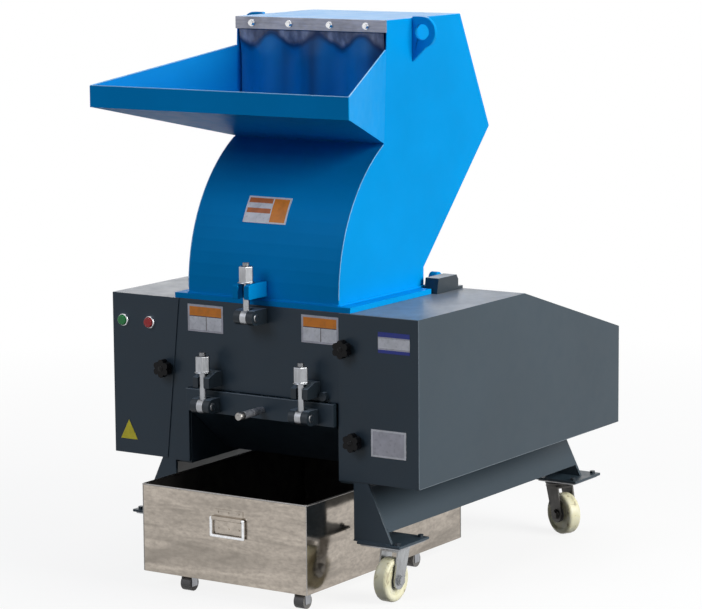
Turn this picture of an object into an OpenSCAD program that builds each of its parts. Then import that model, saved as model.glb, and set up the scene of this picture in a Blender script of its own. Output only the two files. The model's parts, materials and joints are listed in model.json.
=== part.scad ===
// Plastic granulator: a hopper with a feed tray on a cutting chamber, with a screen cradle and a
// wheeled collecting bin below it, a belt guard on the right and a flywheel box on the left.
// Millimetres. +Z is up, the front of the machine faces -Y and +X is the right of whoever faces it.
// The origin lies on the floor, in the middle of the machine's outer box. Inside the modules Y is
// counted from the front plane of the side boxes, and from_front() moves it to the origin.

/* [Side boxes] */
// Width of each side box
box_w = 189; // [184:1:215]
// Height of the boxes from their underside to their flat top
box_h = 373; // [366:1:400]
// Length of the flat part of the belt guard's top
guard_flat_l = 457; // [440:1:500]
// Drop of the belt guard's sloping top down to its rear end
guard_drop = 138; // [90:1:160]
// Length of the belt guard behind the base frame
guard_overhang = 51; // [30:1:80]
// Length of the flywheel box from front to back
left_box_l = 457; // [450:1:520]
// Sheet thickness of both boxes
sheet_t = 2; // [1.5:0.5:3]
// How far the flywheel box's inner front edge leans outwards on its way down
lean_l = 39; // [24:1:46]

/* [Cutting chamber] */
// Clear width between the chamber's side walls, which the hopper, the cradle and the boxes follow
chamber_w = 406; // [390:1:430]
// Thickness of the chamber's side walls
wall_t = 20; // [16:1:24]
// Length of the side walls behind the cradle's hinge
wall_tail_l = 23; // [19:1:33]
// Thickness of the front and rear cross walls
cross_t = 28; // [20:1:30]
// Clear length of the feed opening from front to back
feed_l = 306; // [300:1:320]

/* [Base frame] */
// Thickness of the front and rear frame plates
plate_t = 8; // [6:0.5:10]
// Length of the motor's bay behind the bin
motor_bay_l = 342; // [332:1:362]
// Width of each leg where it starts to flare
leg_w = 38; // [35:1:47]
// How far each leg flares outwards down to its foot
leg_flare = 61; // [49:1:69]
// Height of the side plates' lower edge above the feet
side_rise = 26; // [16:1:40]
// Thickness of the side plates
side_t = 5; // [4:0.5:8]
// Thickness of the deck strips that carry the boxes
deck_t = 8; // [6:0.5:8]

/* [Hopper] */
// Height of the hopper's top above the boxes' top
hopper_h = 627; // [596:1:656]
// Distance from the front plane to the feed mouth
mouth_y = 210; // [206:1:214]
// Distance from the front plane to the rear edge of the hopper's top
top_rear_y = 524; // [500:1:540]
// Distance from the front plane to the hopper's rearmost edge
widest_y = 654; // [630:1:680]
// Height of the hopper's rearmost edge above the boxes' top
widest_h = 358; // [336:1:376]
// Height above the boxes' top at which the hopper's rear turns upright
neck_rear_h = 57; // [46:1:76]
// How far the neck reaches past the feed opening at each end
neck_lap = 23; // [20:1:24]
// Distance from the front plane to the neck's front face
neck_y = 9; // [7:1:12]
// Radius of the neck's curved front
neck_r = 380; // [370:1:395]
// Height above the boxes' top at which the neck's curve starts
neck_arc_h = 26; // [20:1:32]
// Height of the throat, where the tray's floor meets the neck, above the boxes' top
throat_h = 354; // [346:1:360]
// Sheet thickness of the hopper
hopper_t = 3; // [2:0.5:4]
// Width of the flange outside each side of the hopper
flange_lip = 34; // [29:1:36]
// Thickness of the hopper's flange
flange_t = 12; // [10:0.5:14]

/* [Feed tray] */
// Width of the tray at its lip
lip_w = 688; // [640:2:720]
// Reach of the tray in front of the boxes' front plane
lip_reach = 158; // [140:1:175]
// Height of the lip's top above the throat
lip_rise = 134; // [122:1:142]
// Height of the lip's upright band
lip_h = 48; // [44:1:54]
// Drop from the hopper's top to where the tray's side walls meet the mouth
kink_drop = 66; // [56:1:76]
// Sheet thickness of the tray
tray_t = 3; // [2:0.5:4]

/* [Curtain] */
// Height of the clamp bar
bar_h = 28; // [24:1:32]
// Thickness of the clamp bar
bar_t = 5; // [4:0.5:6]
// Clearance between the curtain's lower edge and the throat's floor
curtain_floor_gap = 19.1; // [17:0.1:100]
// Thickness of the curtain
curtain_t = 3; // [2:0.5:4]
// Number of folds across the curtain
fold_count = 3; // [2:1:4]
// Depth of each fold, from its front crest to its middle
fold_depth = 9; // [4:0.5:10]

/* [Swing bolts] */
// Diameter of the swing bolts
rod_d = 15; // [12:0.5:16]
// Width of the long nuts over their flats
nut_af = 30; // [27:0.5:32]
// Height of the long nuts
nut_h = 35; // [30:0.5:38]
// Distance from the pivot pin to the underside of the washer, lower bolts
lower_reach = 76; // [74:0.5:80]
// Distance from the pivot pin to the underside of the washer, top bolt
top_reach = 77; // [75:0.5:80]
// Diameter of the pivot pins
latch_pin_d = 12; // [10:0.5:14]
// Width of each clevis over its two ears
clevis_w = 51; // [46:1:56]
// Height of each clevis
clevis_h = 34; // [30:1:36]
// Diameter of each eye
eye_d = 34; // [30:0.5:36]
// Width of each slotted lug
lug_w = 44; // [40:1:48]
// Height of each slotted lug
lug_h = 34; // [28:0.5:34]

/* [Screen cradle] */
// Clearance between the cradle and each side wall
cradle_side_gap = 4; // [3:0.5:8]
// Thickness of the cradle's plates
cradle_t = 8; // [6:0.5:10]
// Height of the cradle from its lowest edge to its top edge
cradle_h = 165; // [151:1:169]
// Height of the cradle's front flange
cradle_flange_h = 51; // [46:1:56]
// Thickness of the screen
screen_t = 5; // [4:0.5:6]
// Diameter of the screen's holes
screen_hole_d = 12; // [8:0.5:14]
// Length of the cradle's bar handle
bar_handle_l = 83; // [60:1:100]
// Diameter of the cradle's bar handle
bar_handle_d = 13; // [10:0.5:18]

/* [Rotor and drive] */
// Radius of the circle that the rotor knives sweep
cut_r = 118; // [114:0.5:118]
// Diameter of the rotor shaft
shaft_d = 60; // [50:1:65]
// Radius of the flywheel
flywheel_r = 150; // [120:1:155]
// Width of the flywheel
flywheel_w = 45; // [30:1:50]
// Outer radius of the driven pulley
big_pulley_r = 140; // [120:1:145]
// Outer radius of the motor pulley
small_pulley_r = 60; // [50:1:65]
// Number of drive belts
belt_count = 3; // [2:1:3]
// Height of the motor's shaft above its feet
motor_centre_h = 132; // [128:1:136]
// Radius of the motor's body
motor_r = 118; // [100:1:122]
// Length of the motor's body
motor_l = 330; // [280:1:340]

/* [Collecting bin] */
// Width of the bin
bin_w = 444; // [430:1:460]
// Length of the bin
bin_l = 646; // [600:1:680]
// Height of the bin from its floor to its rim
bin_h = 202; // [184:1:220]
// Reach of the bin in front of the boxes' front plane
bin_reach = 128; // [120:1:135]
// Clearance between the bin and each leg
bin_side_gap = 4; // [3:0.5:10]
// Clearance between the bin's rim and the frame above it
bin_top_gap = 30; // [20:1:40]
// Sheet thickness of the bin
bin_t = 1.5; // [1:0.5:2]
// Width of the bin's handle
bin_handle_w = 94; // [80:1:100]
// Height of the bin's handle
bin_handle_h = 47; // [40:1:52]
// Diameter of the bin's rollers
roller_d = 34; // [30:1:36]

/* [Casters] */
// Diameter of the caster wheels
wheel_d = 100; // [90:1:104]
// Width of the caster wheels
wheel_w = 34; // [28:1:36]
// Distance from the swivel axis to the wheel's axle
trail = 25; // [20:1:28]

/* [Controls] */
// Diameter of the push-button bezels
bezel_d = 29.5; // [26:0.5:32]
// Diameter of the push-button caps
cap_d = 23; // [20:0.5:24]
// Travel of the push buttons
button_travel = 4; // [2:0.5:5]
// Diameter of the star knobs
knob_d = 42; // [36:1:46]

/* [Hidden] */
$fn = 48;

// Shared fits. The overrun lets a cut pass its faces.
overrun = 1;
fit_gap = 0.3;
running_gap = 0.05;
hex_angle = 30;

// Casters and feet
foot_plate_w = 112;
foot_plate_l = 124;
foot_plate_t = 6;
caster_plate_t = 4;
caster_plate_margin = 6;
swivel_head_d = 58;
swivel_head_h = 12;
fork_leg_t = 4;
fork_leg_w = 48;
fork_foot_w = 40;
fork_side_gap = 2.5;
wheel_top_gap = 12.7;
axle_d = 12;
tread_round = 8;
hub_recess = 3;
head_low_z = wheel_d + wheel_top_gap + fork_leg_t;
head_top_z = head_low_z + swivel_head_h;
leg_bottom_z = head_top_z + fit_gap + caster_plate_t + foot_plate_t;
fork_inner_x = wheel_w / 2 + fork_side_gap;

// Heights of the bin, the tunnel above it and the boxes
roller_gap = 2;
step_drop = 3;
rotor_rise = 207;
bin_floor_z = roller_d + roller_gap;
bin_top_z = bin_floor_z + bin_h;
step_z = bin_top_z + bin_top_gap;
box_bottom_z = step_z + step_drop;
top_z = box_bottom_z + box_h;
guard_rear_z = top_z - guard_drop;
side_bottom_z = leg_bottom_z + side_rise;
rotor_z = box_bottom_z + rotor_rise;

// Widths of the chamber and the boxes
box_gap = 3;
guard_panel_lap = 5;
wall_x = chamber_w / 2;
box_inner_x = wall_x + wall_t + box_gap;
body_x = box_inner_x + box_w;
guard_edge_x = wall_x + guard_panel_lap;
lean_bottom_x = box_inner_x + lean_l;

// Lengths of the base and the whole machine
base_l = bin_l - bin_reach + motor_bay_l;
guard_l = base_l + guard_overhang;
machine_mid_y = (guard_l - lip_reach) / 2;

// Base frame
bin_offset = -17;
bin_x = bin_w / 2;
tunnel_step = 1;
foot_inset = 88;
plate_y = sheet_t + fit_gap;
tunnel_x = wall_x + tunnel_step;
leg_inner_x = bin_x - bin_offset + bin_side_gap;
leg_top_x = leg_inner_x + leg_w;
leg_bottom_x = leg_top_x + leg_flare;
plate_top_x = leg_top_x - side_t;
foot_inner_x = leg_bottom_x - foot_inset;
front_foot_y = -4;
rear_foot_inset = 74;
rear_foot_y = base_l - rear_foot_inset;
shelf_t = 8;
shelf_rise = 59;
shelf_top_z = leg_bottom_z + shelf_rise;

// Chamber
ledge_d = 19;
ledge_h = 24;
knife_h = 16;
knife_gap = 0.7;
bearing_d = 130;
bearing_t = 26;
bore_clearance = 4;
wall_y = plate_y + plate_t;
feed_y = wall_y + cross_t;
rotor_y = feed_y + feed_l / 2;

// Hopper, in the plane of its side plates
hopper_step = 1;
arc_steps = 14;
hopper_w = chamber_w + 2 * hopper_step;
hopper_top_z = top_z + hopper_h;
widest_z = top_z + widest_h;
neck_rear_z = top_z + neck_rear_h;
neck_arc_z = top_z + neck_arc_h;
throat_z = top_z + throat_h;
lip_top_z = throat_z + lip_rise;
kink_z = hopper_top_z - kink_drop;
neck_l = feed_l + 2 * neck_lap;
flange_w = hopper_w + 2 * flange_lip;
flange_z = top_z + fit_gap;
neck_foot_z = flange_z + flange_t;
neck_centre_y = neck_y + neck_r;
throat_angle = asin((throat_z - neck_arc_z) / neck_r);
throat_y = neck_centre_y - neck_r * cos(throat_angle);
neck_rear_y = neck_y + neck_l;
kink_y = throat_y + (mouth_y - throat_y) * (kink_z - throat_z) / (hopper_top_z - bar_h - throat_z);
flange_front_y = 2;
flange_lap = 31;
flange_full_l = feed_l + flange_lap;
flange_tail_w = 2 * guard_edge_x - 2 * fit_gap;
flange_tail_l = 32;
lip_front_y = -lip_reach;

// Hopper hinge
hinge_back = 59;
hinge_rise = 24;
hinge_pin_d = 16;
hinge_arm_w = 20;
hinge_knuckle_r = 15;
hinge_y = neck_rear_y + hinge_back;
hinge_z = top_z + hinge_rise;
bracket_x = guard_edge_x + 4 * sheet_t;
bracket_w = 35;
bracket_base_h = 7;
bracket_l = 113;
bracket_lead_l = 78;
bracket_top_share = 0.75;
bracket_front_y = hinge_y - bracket_lead_l;

// Lifting eyes
eye_plate_t = 10;
eye_plate_back = 105;
eye_plate_y = mouth_y + eye_plate_back;
eye_r = 35;
eye_hole_d = 35;
eye_reach = 26;
eye_drop = 31;
eye_foot_drop = 99;
eye_foot_angle = 20;
eye_foot_z = hopper_top_z - eye_foot_drop;

// Curtain
bar_half_w = hopper_w / 2;
bar_y = mouth_y - bar_t;
bar_bottom_z = hopper_top_z - bar_h;
curtain_side_gap = 5;
curtain_half_w = hopper_w / 2 - hopper_t - curtain_side_gap;
curtain_top_gap = 0.9;
curtain_mid_y = mouth_y;
curtain_top_z = bar_bottom_z - curtain_top_gap;
curtain_l = curtain_top_z - throat_z - hopper_t - curtain_floor_gap;
curtain_cols = 48;
curtain_rows = 8;
curtain_row_power = 1.4;
fold_settle = 60;
fold_phase = 0.6;
clamp_bolt_d = 16;
clamp_bolt_h = 7;
clamp_bolt_share = [-0.775, -0.27, 0.27, 0.745];
clamp_head_share = 0.8;

// Cradle
cradle_top_drop = 37;
cradle_flange_t = 12;
cradle_flange_gap = 2;
cradle_front_low_l = 46.3;
cradle_rear_low_l = 100.7;
cradle_rear_l = 186.7;
cradle_hinge_back = 24;
cradle_hinge_drop = 20;
cradle_pin_d = 16;
cradle_knuckle_r = 15;
cradle_rib_t = 10;
cradle_w = chamber_w - 2 * cradle_side_gap;
cradle_x = cradle_w / 2;
cradle_flange_x = wall_x - cradle_flange_gap;
cradle_top_z = rotor_z - cradle_top_drop;
cradle_bottom_z = cradle_top_z - cradle_h;
cradle_front_low_y = rotor_y - cradle_front_low_l;
cradle_rear_low_y = rotor_y + cradle_rear_low_l;
cradle_rear_y = rotor_y + cradle_rear_l;
cradle_hinge_y = cradle_rear_y + cradle_hinge_back;
cradle_hinge_z = cradle_top_z - cradle_hinge_drop;
cradle_bracket_t = wall_x - cradle_x + cradle_t - fit_gap;
cross_bottom_z = cradle_top_z + fit_gap;
wall_l = cradle_hinge_y + cradle_knuckle_r + wall_tail_l;
bar_handle_x = 10;
bar_handle_cap_step = 3;
bar_handle_cap_l = 10;
bar_handle_cap_d = bar_handle_d + 2 * bar_handle_cap_step;

// Screen
screen_gap = 4;
screen_r = cut_r + screen_gap;
screen_end_angle = 9;
screen_hole_angle = 120;
screen_hole_rows = 5;
screen_hole_cols = 10;
screen_l = cradle_w - 2 * cradle_t - 2 * fit_gap;

// Swing bolts
bolt_y = -40;
top_bolt_x = -9;
top_pivot_drop = 22;
lower_pivot_drop = 30.5;
lower_left_inset = 67;
lower_right_inset = 64;
washer_t = 3;
washer_d = 38;
stub_l = 8;
eye_w = 16;
eye_side_gap = 1;
rod_side_gap = 1;
rod_back_gap = 2;
top_lug_lead_l = 22;
lower_lug_lead_l = 8;
// Length and height of the slope on top of a lug, over which the washer leaves
top_lug_slope = [13, 4];
lower_lug_slope = [29, 11];
top_pivot_z = top_z - top_pivot_drop;
lower_pivot_z = cradle_top_z - lower_pivot_drop;
lower_left_x = lower_left_inset - cradle_x;
lower_right_x = cradle_x - lower_right_inset;
slot_w = rod_d + 2 * rod_side_gap;
slot_end_y = bolt_y + rod_d / 2 + rod_back_gap;
ear_gap_w = eye_w + 2 * eye_side_gap;

// Rotor and drive
rotor_side_gap = 5;
rotor_half_l = wall_x - rotor_side_gap;
rotor_core_r = 100;
knife_count = 3;
knife_seat_r = 66;
knife_t = 14;
flywheel_hub_r = 55;
flywheel_web_t = 18;
flywheel_rim_t = 28;
belt_pitch = 19;
belt_w = 11;
belt_h = 10;
belt_place_share = 0.75;
groove_depth = 12;
groove_top_share = 0.72;
groove_floor_share = 0.55;
drive_gap = 7;
shaft_left_end_l = 17;
shaft_right_end_l = 15.5;
pulley_w = belt_count * belt_pitch + belt_pitch / 2;
pulley_x = wall_x + wall_t + bearing_t + drive_gap;
flywheel_x = -pulley_x;
shaft_left_x = flywheel_x - flywheel_w - shaft_left_end_l;
shaft_right_x = pulley_x + pulley_w + shaft_right_end_l;

// Motor
motor_rear_gap = 170;
motor_guard_gap = 66;
motor_y = base_l - motor_rear_gap;
rail_h = 20;
motor_z = shelf_top_z + rail_h + motor_centre_h;
motor_left_x = box_inner_x - motor_guard_gap - motor_l;
motor_shaft_d = 38;
motor_fin_count = 24;
motor_fin_t = 4;
motor_fin_h = 10;
rail_w = 40;
rail_spacing = 190;

// Bin
hem_h = 6;
hem_t = 1.5;
bin_handle_x = -3;
hinge_tube_drop = 55;
hinge_tube_z = bin_top_z - hinge_tube_drop;
hinge_tube_d = 10;
handle_rod_d = 7;
handle_plate_h = 52;
handle_plate_t = 1.2;
handle_plate_low_share = 0.62;
rivet_d = 5;
rivet_across_shares = [-0.7, 0, 0.7];
rivet_up_shares = [-0.45, 0.25];
roller_w = 26;
roller_pin_d = 6;
roller_cheek_t = 2;
roller_cheek_share = 0.6;
roller_left_inset = 109;
roller_right_inset = 27;
roller_front_inset = 23;
roller_rear_inset = 173;
roller_left_x = bin_offset - bin_x + roller_left_inset;
roller_right_x = bin_offset + bin_x - roller_right_inset;
roller_front_y = roller_front_inset - bin_reach;
roller_rear_y = bin_l - bin_reach - roller_rear_inset;

// Casters. The front left one stands further out, clear of the bin.
front_left_caster_step = 10;
rear_caster_step = 18;
front_caster_l = 77;
rear_caster_l = 46;
front_caster_x = foot_inner_x + foot_plate_w / 2;
front_left_caster_x = front_caster_x + front_left_caster_step;
rear_caster_x = front_caster_x - rear_caster_step;
front_caster_y = front_foot_y + front_caster_l;
rear_caster_y = rear_foot_y + rear_caster_l;
rear_right_swivel_angle = 65;
rear_left_swivel_angle = -20;
front_left_swivel_angle = 15;

// Controls
start_inset = 32;
stop_inset = 107;
button_drop = 62;
start_x = start_inset - body_x;
stop_x = stop_inset - body_x;
button_z = top_z - button_drop;
bezel_h = 7;
bezel_body_d = 26;
bezel_body_l = 36;
cap_proud = 4.5;
knob_h = 24;
knob_hub_d = 22;
knob_lobes = 6;
knob_neck_share = 0.3;
knob_disc_share = 0.76;
knob_lobe_share = 0.18;
knob_stud_d = 8;
knob_stud_l = 16;
left_knob_inset = 37;
left_knob_drop = 163;
right_upper_knob_inset = 19;
right_upper_knob_drop = 77;
right_lower_knob_inset = 44;
right_lower_knob_rise = 91;
left_knob_x = -box_inner_x - left_knob_inset;
left_knob_z = top_z - left_knob_drop;
right_upper_knob_x = guard_edge_x + right_upper_knob_inset;
right_upper_knob_z = top_z - right_upper_knob_drop;
right_lower_knob_x = guard_edge_x + right_lower_knob_inset;
right_lower_knob_z = box_bottom_z + right_lower_knob_rise;

// Blank plates
label_t = 0.8;
label_w = 98;
label_h = 62;
left_label_inset = 50;
right_label_inset = 45;
label_drop = 42;
left_label_x = left_label_inset - wall_x;
right_label_x = wall_x - right_label_inset;
label_z = top_z - label_drop;
id_plate_w = 81;
id_plate_h = 46;
id_plate_inset = 63;
id_plate_drop = 56;
data_plate_w = 90;
data_plate_h = 61;
data_plate_inset = 78;
data_plate_rise = 93;
triangle_w = 48;
triangle_h = 45;
triangle_inset = 41;
triangle_rise = 33;
neck_plate_w = 116;
neck_plate_h = 56;
neck_plate_x = -16;
neck_plate_rise = 179;
neck_plate_steps = 6;
neck_plate_low_z = top_z + neck_plate_rise;

// Moves a piece from the front plane of the boxes to the origin under the machine's middle.
module from_front() { translate([0, -machine_mid_y, 0]) children(); }

// A block between two values along each axis.
module span(x, y, z) {
    translate([x[0], y[0], z[0]]) cube([x[1] - x[0], y[1] - y[0], z[1] - z[0]]);
}

// An outline in X and Z, from y0 backwards by t.
module xz_plate(points, y0, t) {
    translate([0, y0 + t, 0]) rotate([90, 0, 0]) linear_extrude(t) polygon(points);
}

// An outline in Y and Z, from x0 to the right by t.
module yz_plate(points, x0, t) {
    translate([x0, 0, 0]) rotate([90, 0, 90]) linear_extrude(t) polygon(points);
}

module x_rod(d, x0, x1, y, z) { translate([x0, y, z]) rotate([0, 90, 0]) cylinder(d = d, h = x1 - x0); }
module y_rod(d, y0, y1, x, z) { translate([x, y0, z]) rotate([-90, 0, 0]) cylinder(d = d, h = y1 - y0); }
module z_rod(d, z0, z1, x, y) { translate([x, y, z0]) cylinder(d = d, h = z1 - z0); }
module both_sides() { children(); mirror([1, 0, 0]) children(); }

function mirrored(points) = [for (i = [len(points) - 1 : -1 : 0]) [-points[i][0], points[i][1]]];
function arc(c, r, a0, a1, n) = [for (i = [0 : n]) let (a = a0 + (a1 - a0) * i / n) c + r * [cos(a), sin(a)]];

// Unit vector square to the left of the edge from a to b.
function edge_normal(a, b) = let (d = b - a) [-d[1], d[0]] / norm(d);
// One corner of an outline moved so that both its edges move by t.
function moved_corner(a, b, c, t) =
    let (m = edge_normal(a, b), n = edge_normal(b, c)) b + t * (m + n) / (1 + m * n);
// A whole outline moved to the left of its edges by t, which shrinks a counterclockwise one.
function inset(p, t) = let (n = len(p))
    [for (i = [0 : n - 1]) moved_corner(p[(i + n - 1) % n], p[i], p[(i + 1) % n], t)];

// Base frame

// Outer edge of a leg at height z.
function leg_edge_x(z) =
    leg_top_x + (leg_bottom_x - leg_top_x) * (box_bottom_z - z) / (box_bottom_z - leg_bottom_z);

module foot_plate(y0) {
    both_sides() span([foot_inner_x, foot_inner_x + foot_plate_w], [y0, y0 + foot_plate_l],
                      [leg_bottom_z - foot_plate_t, leg_bottom_z]);
}

module frame_front_plate() {
    half = [
        [tunnel_x, cradle_top_z + fit_gap], [tunnel_x, step_z], [leg_inner_x, step_z],
        [leg_inner_x, leg_bottom_z], [leg_bottom_x, leg_bottom_z], [leg_top_x, box_bottom_z],
        [plate_top_x, top_z - sheet_t - fit_gap], [box_inner_x - fit_gap, top_z - sheet_t - fit_gap],
        [box_inner_x - fit_gap, top_z]
    ];
    color("#3a3e47") from_front() {
        xz_plate(concat(half, mirrored(half)), plate_y, plate_t);
        foot_plate(front_foot_y);
    }
}

// One sloped side plate of the base, between the front and the rear plate.
module side_plate() {
    low_x = leg_edge_x(side_bottom_z);
    xz_plate([
        [low_x, side_bottom_z], [leg_top_x, box_bottom_z - deck_t], [leg_top_x - side_t, box_bottom_z - deck_t],
        [low_x - side_t, side_bottom_z]
    ], wall_y, base_l - plate_t - wall_y);
}

module frame_base() {
    rear_half = [
        [leg_inner_x, side_bottom_z], [leg_inner_x, leg_bottom_z], [leg_bottom_x, leg_bottom_z],
        [leg_top_x, box_bottom_z - deck_t]
    ];
    shelf_x = leg_edge_x(shelf_top_z) - side_t;
    shelf_y = bin_l - bin_reach + fit_gap;
    color("#3a3e47") from_front() {
        both_sides() side_plate();
        xz_plate(concat(rear_half, mirrored(rear_half)), base_l - plate_t, plate_t);
        foot_plate(rear_foot_y);
        both_sides() span([tunnel_x, leg_top_x], [wall_y, base_l], [box_bottom_z - deck_t, box_bottom_z]);
        span([-shelf_x, shelf_x], [shelf_y, base_l - plate_t], [shelf_top_z - shelf_t, shelf_top_z]);
    }
}

// The casters' own top plates, one under each foot plate.
module caster_plates() {
    color("silver") from_front()
        both_sides() for (y0 = [front_foot_y, rear_foot_y])
            span([foot_inner_x + caster_plate_margin, foot_inner_x + foot_plate_w - caster_plate_margin],
                 [y0 + caster_plate_margin, y0 + foot_plate_l - caster_plate_margin],
                 [leg_bottom_z - foot_plate_t - caster_plate_t, leg_bottom_z - foot_plate_t]);
}

// Cutting chamber

module chamber_side_walls() {
    color("#3a3e47") from_front() both_sides() difference() {
        span([wall_x, wall_x + wall_t], [wall_y, wall_l], [box_bottom_z, top_z]);
        x_rod(shaft_d + bore_clearance, wall_x - overrun, wall_x + wall_t + overrun, rotor_y, rotor_z);
    }
}

// One cross wall with the ledge that its bed knife lies on. The inner face looks along +Y.
module cross_wall(inner_y) {
    outer_y = inner_y - cross_t;
    yz_plate([
        [outer_y, cross_bottom_z], [inner_y + ledge_d, cross_bottom_z], [inner_y + ledge_d, cross_bottom_z + ledge_h],
        [inner_y, cross_bottom_z + ledge_h], [inner_y, top_z], [outer_y, top_z]
    ], -wall_x, chamber_w);
}

// Repeats a front piece behind the rotor, turned to face it.
module facing_rotor() {
    children();
    translate([0, 2 * rotor_y, 0]) mirror([0, 1, 0]) children();
}

module chamber_cross_walls() {
    color("#3a3e47") from_front() facing_rotor() cross_wall(feed_y);
}

module bed_knives() {
    low_z = cross_bottom_z + ledge_h;
    color("#b8bcc0") from_front() facing_rotor()
        span([-rotor_half_l, rotor_half_l], [feed_y, rotor_y - cut_r - knife_gap], [low_z, low_z + knife_h]);
}

module bearing_housings() {
    color("#4a4e57") from_front() both_sides() difference() {
        x_rod(bearing_d, wall_x + wall_t, wall_x + wall_t + bearing_t, rotor_y, rotor_z);
        x_rod(shaft_d + 2 * running_gap, wall_x, wall_x + wall_t + bearing_t + overrun, rotor_y, rotor_z);
    }
}

// Side boxes

function guard_outline() = [
    [0, box_bottom_z], [guard_l, box_bottom_z], [guard_l, guard_rear_z], [guard_flat_l, top_z], [0, top_z]
];
function left_outline() = [
    [0, box_bottom_z], [left_box_l, box_bottom_z], [left_box_l, top_z], [0, top_z]
];

// A box of sheet with the given side outline, open towards the chamber and notched for the front plate.
module side_box(outline) {
    difference() {
        yz_plate(outline, box_inner_x, body_x - box_inner_x);
        yz_plate(inset(outline, sheet_t), box_inner_x - overrun, body_x - box_inner_x - sheet_t + overrun);
        span([box_inner_x - overrun, leg_top_x + fit_gap], [plate_y - fit_gap, wall_y + fit_gap],
             [box_bottom_z - overrun, box_bottom_z + sheet_t + overrun]);
    }
}

module flywheel_box() {
    color("#3a3e47") from_front() difference() {
        mirror([1, 0, 0]) side_box(left_outline());
        xz_plate([
            [-box_inner_x, top_z + overrun], [-lean_bottom_x, box_bottom_z - overrun],
            [-box_inner_x + overrun, box_bottom_z - overrun], [-box_inner_x + overrun, top_z + overrun]
        ], -overrun, sheet_t + overrun);
        for (b = [[start_x, button_z], [stop_x, button_z]])
            y_rod(bezel_body_d + fit_gap, -overrun, sheet_t + overrun, b[0], b[1]);
    }
}

module belt_guard() {
    inner_wall_y = wall_l + 2 * sheet_t;
    shaft_slot_d = 68;
    shaft_slot_l = 20;
    color("#3a3e47") from_front() difference() {
        union() {
            side_box(guard_outline());
            span([guard_edge_x, box_inner_x], [0, sheet_t], [box_bottom_z, top_z]);
            intersection() {
                yz_plate(guard_outline(), box_inner_x, sheet_t);
                span([0, body_x], [inner_wall_y, guard_l], [box_bottom_z, top_z]);
            }
        }
        for (s = [-1, 1])
            x_rod(shaft_slot_d, 0, box_inner_x + sheet_t + overrun, motor_y + s * shaft_slot_l / 2, motor_z);
    }
}

// Motor and drive

module motor_housing() {
    end_t = 30;
    fan_cover_l = 60;
    foot_w = 216;
    foot_t = 14;
    foot_l = 180;
    body_x0 = motor_left_x + fan_cover_l;
    body_x1 = motor_left_x + motor_l - end_t;
    terminal_w = 110;
    terminal_l = 100;
    terminal_h = 48;
    core_r = motor_r - motor_fin_h;
    foot_x0 = body_x0 + end_t;
    foot_z0 = motor_z - motor_centre_h;
    color("#3f5f7a") from_front() difference() {
        union() {
            x_rod(2 * core_r, motor_left_x, motor_left_x + motor_l, motor_y, motor_z);
            x_rod(2 * motor_r, motor_left_x, body_x0, motor_y, motor_z);
            x_rod(2 * motor_r, body_x1, body_x1 + end_t, motor_y, motor_z);
            translate([0, motor_y, motor_z]) for (i = [0 : motor_fin_count - 1])
                rotate([i * 360 / motor_fin_count, 0, 0])
                    span([body_x0, body_x1], [-motor_fin_t / 2, motor_fin_t / 2],
                         [core_r - motor_fin_h, motor_r - overrun]);
            span([foot_x0, foot_x0 + foot_l], [motor_y - foot_w / 2, motor_y + foot_w / 2],
                 [foot_z0, foot_z0 + foot_t]);
            span([foot_x0, foot_x0 + foot_l], [motor_y - core_r / 2, motor_y + core_r / 2],
                 [foot_z0, motor_z - core_r / 2]);
            span([foot_x0, foot_x0 + terminal_l], [motor_y - terminal_w / 2, motor_y + terminal_w / 2],
                 [motor_z + core_r - foot_t, motor_z + motor_r + terminal_h]);
        }
        x_rod(motor_shaft_d + 2 * running_gap, motor_left_x + motor_l / 2, motor_left_x + motor_l + overrun,
              motor_y, motor_z);
    }
}

module motor_rails() {
    color("#55585e") from_front() for (s = [-1, 1])
        translate([0, motor_y + s * rail_spacing / 2, 0])
            span([motor_left_x + rail_w, motor_left_x + motor_l - rail_w], [-rail_w / 2, rail_w / 2],
                 [shelf_top_z, shelf_top_z + rail_h]);
}

// Radius of a pulley's groove floor.
function groove_r(r) = r - groove_depth;

// A V-belt pulley along X with its bore cut out, its left face at x = 0.
module pulley(r, bore) {
    profile = concat(
        [[bore / 2, 0], [r, 0]],
        [for (i = [0 : belt_count - 1])
            let (c = (i + belt_place_share) * belt_pitch, top = belt_w * groove_top_share,
                 low = belt_w * groove_floor_share)
            each [[r, c - top], [groove_r(r), c - low], [groove_r(r), c + low], [r, c + top]]],
        [[r, pulley_w], [bore / 2, pulley_w]]
    );
    rotate([0, 90, 0]) rotate_extrude($fn = 96) polygon(profile);
}

// Closed outline round both pulleys at a distance of extra outside their groove floors.
function belt_path(extra) =
    let (a = [rotor_y, rotor_z], b = [motor_y, motor_z], d = norm(b - a),
         tilt = atan2(b[1] - a[1], b[0] - a[0]),
         ra = groove_r(big_pulley_r) + extra, rb = groove_r(small_pulley_r) + extra,
         open = acos((ra - rb) / d))
    concat(arc(a, ra, tilt + open, tilt + 360 - open, 28), arc(b, rb, tilt - open, tilt + open, 20));

module drive_belts() {
    inner = belt_path(2 * fit_gap);
    outer = belt_path(belt_h);
    color("#26272a") from_front() for (i = [0 : belt_count - 1])
        translate([pulley_x + (i + belt_place_share) * belt_pitch - belt_w / 2, 0, 0]) difference() {
            yz_plate(outer, 0, belt_w);
            yz_plate(inner, -overrun, belt_w + 2 * overrun);
        }
}

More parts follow.
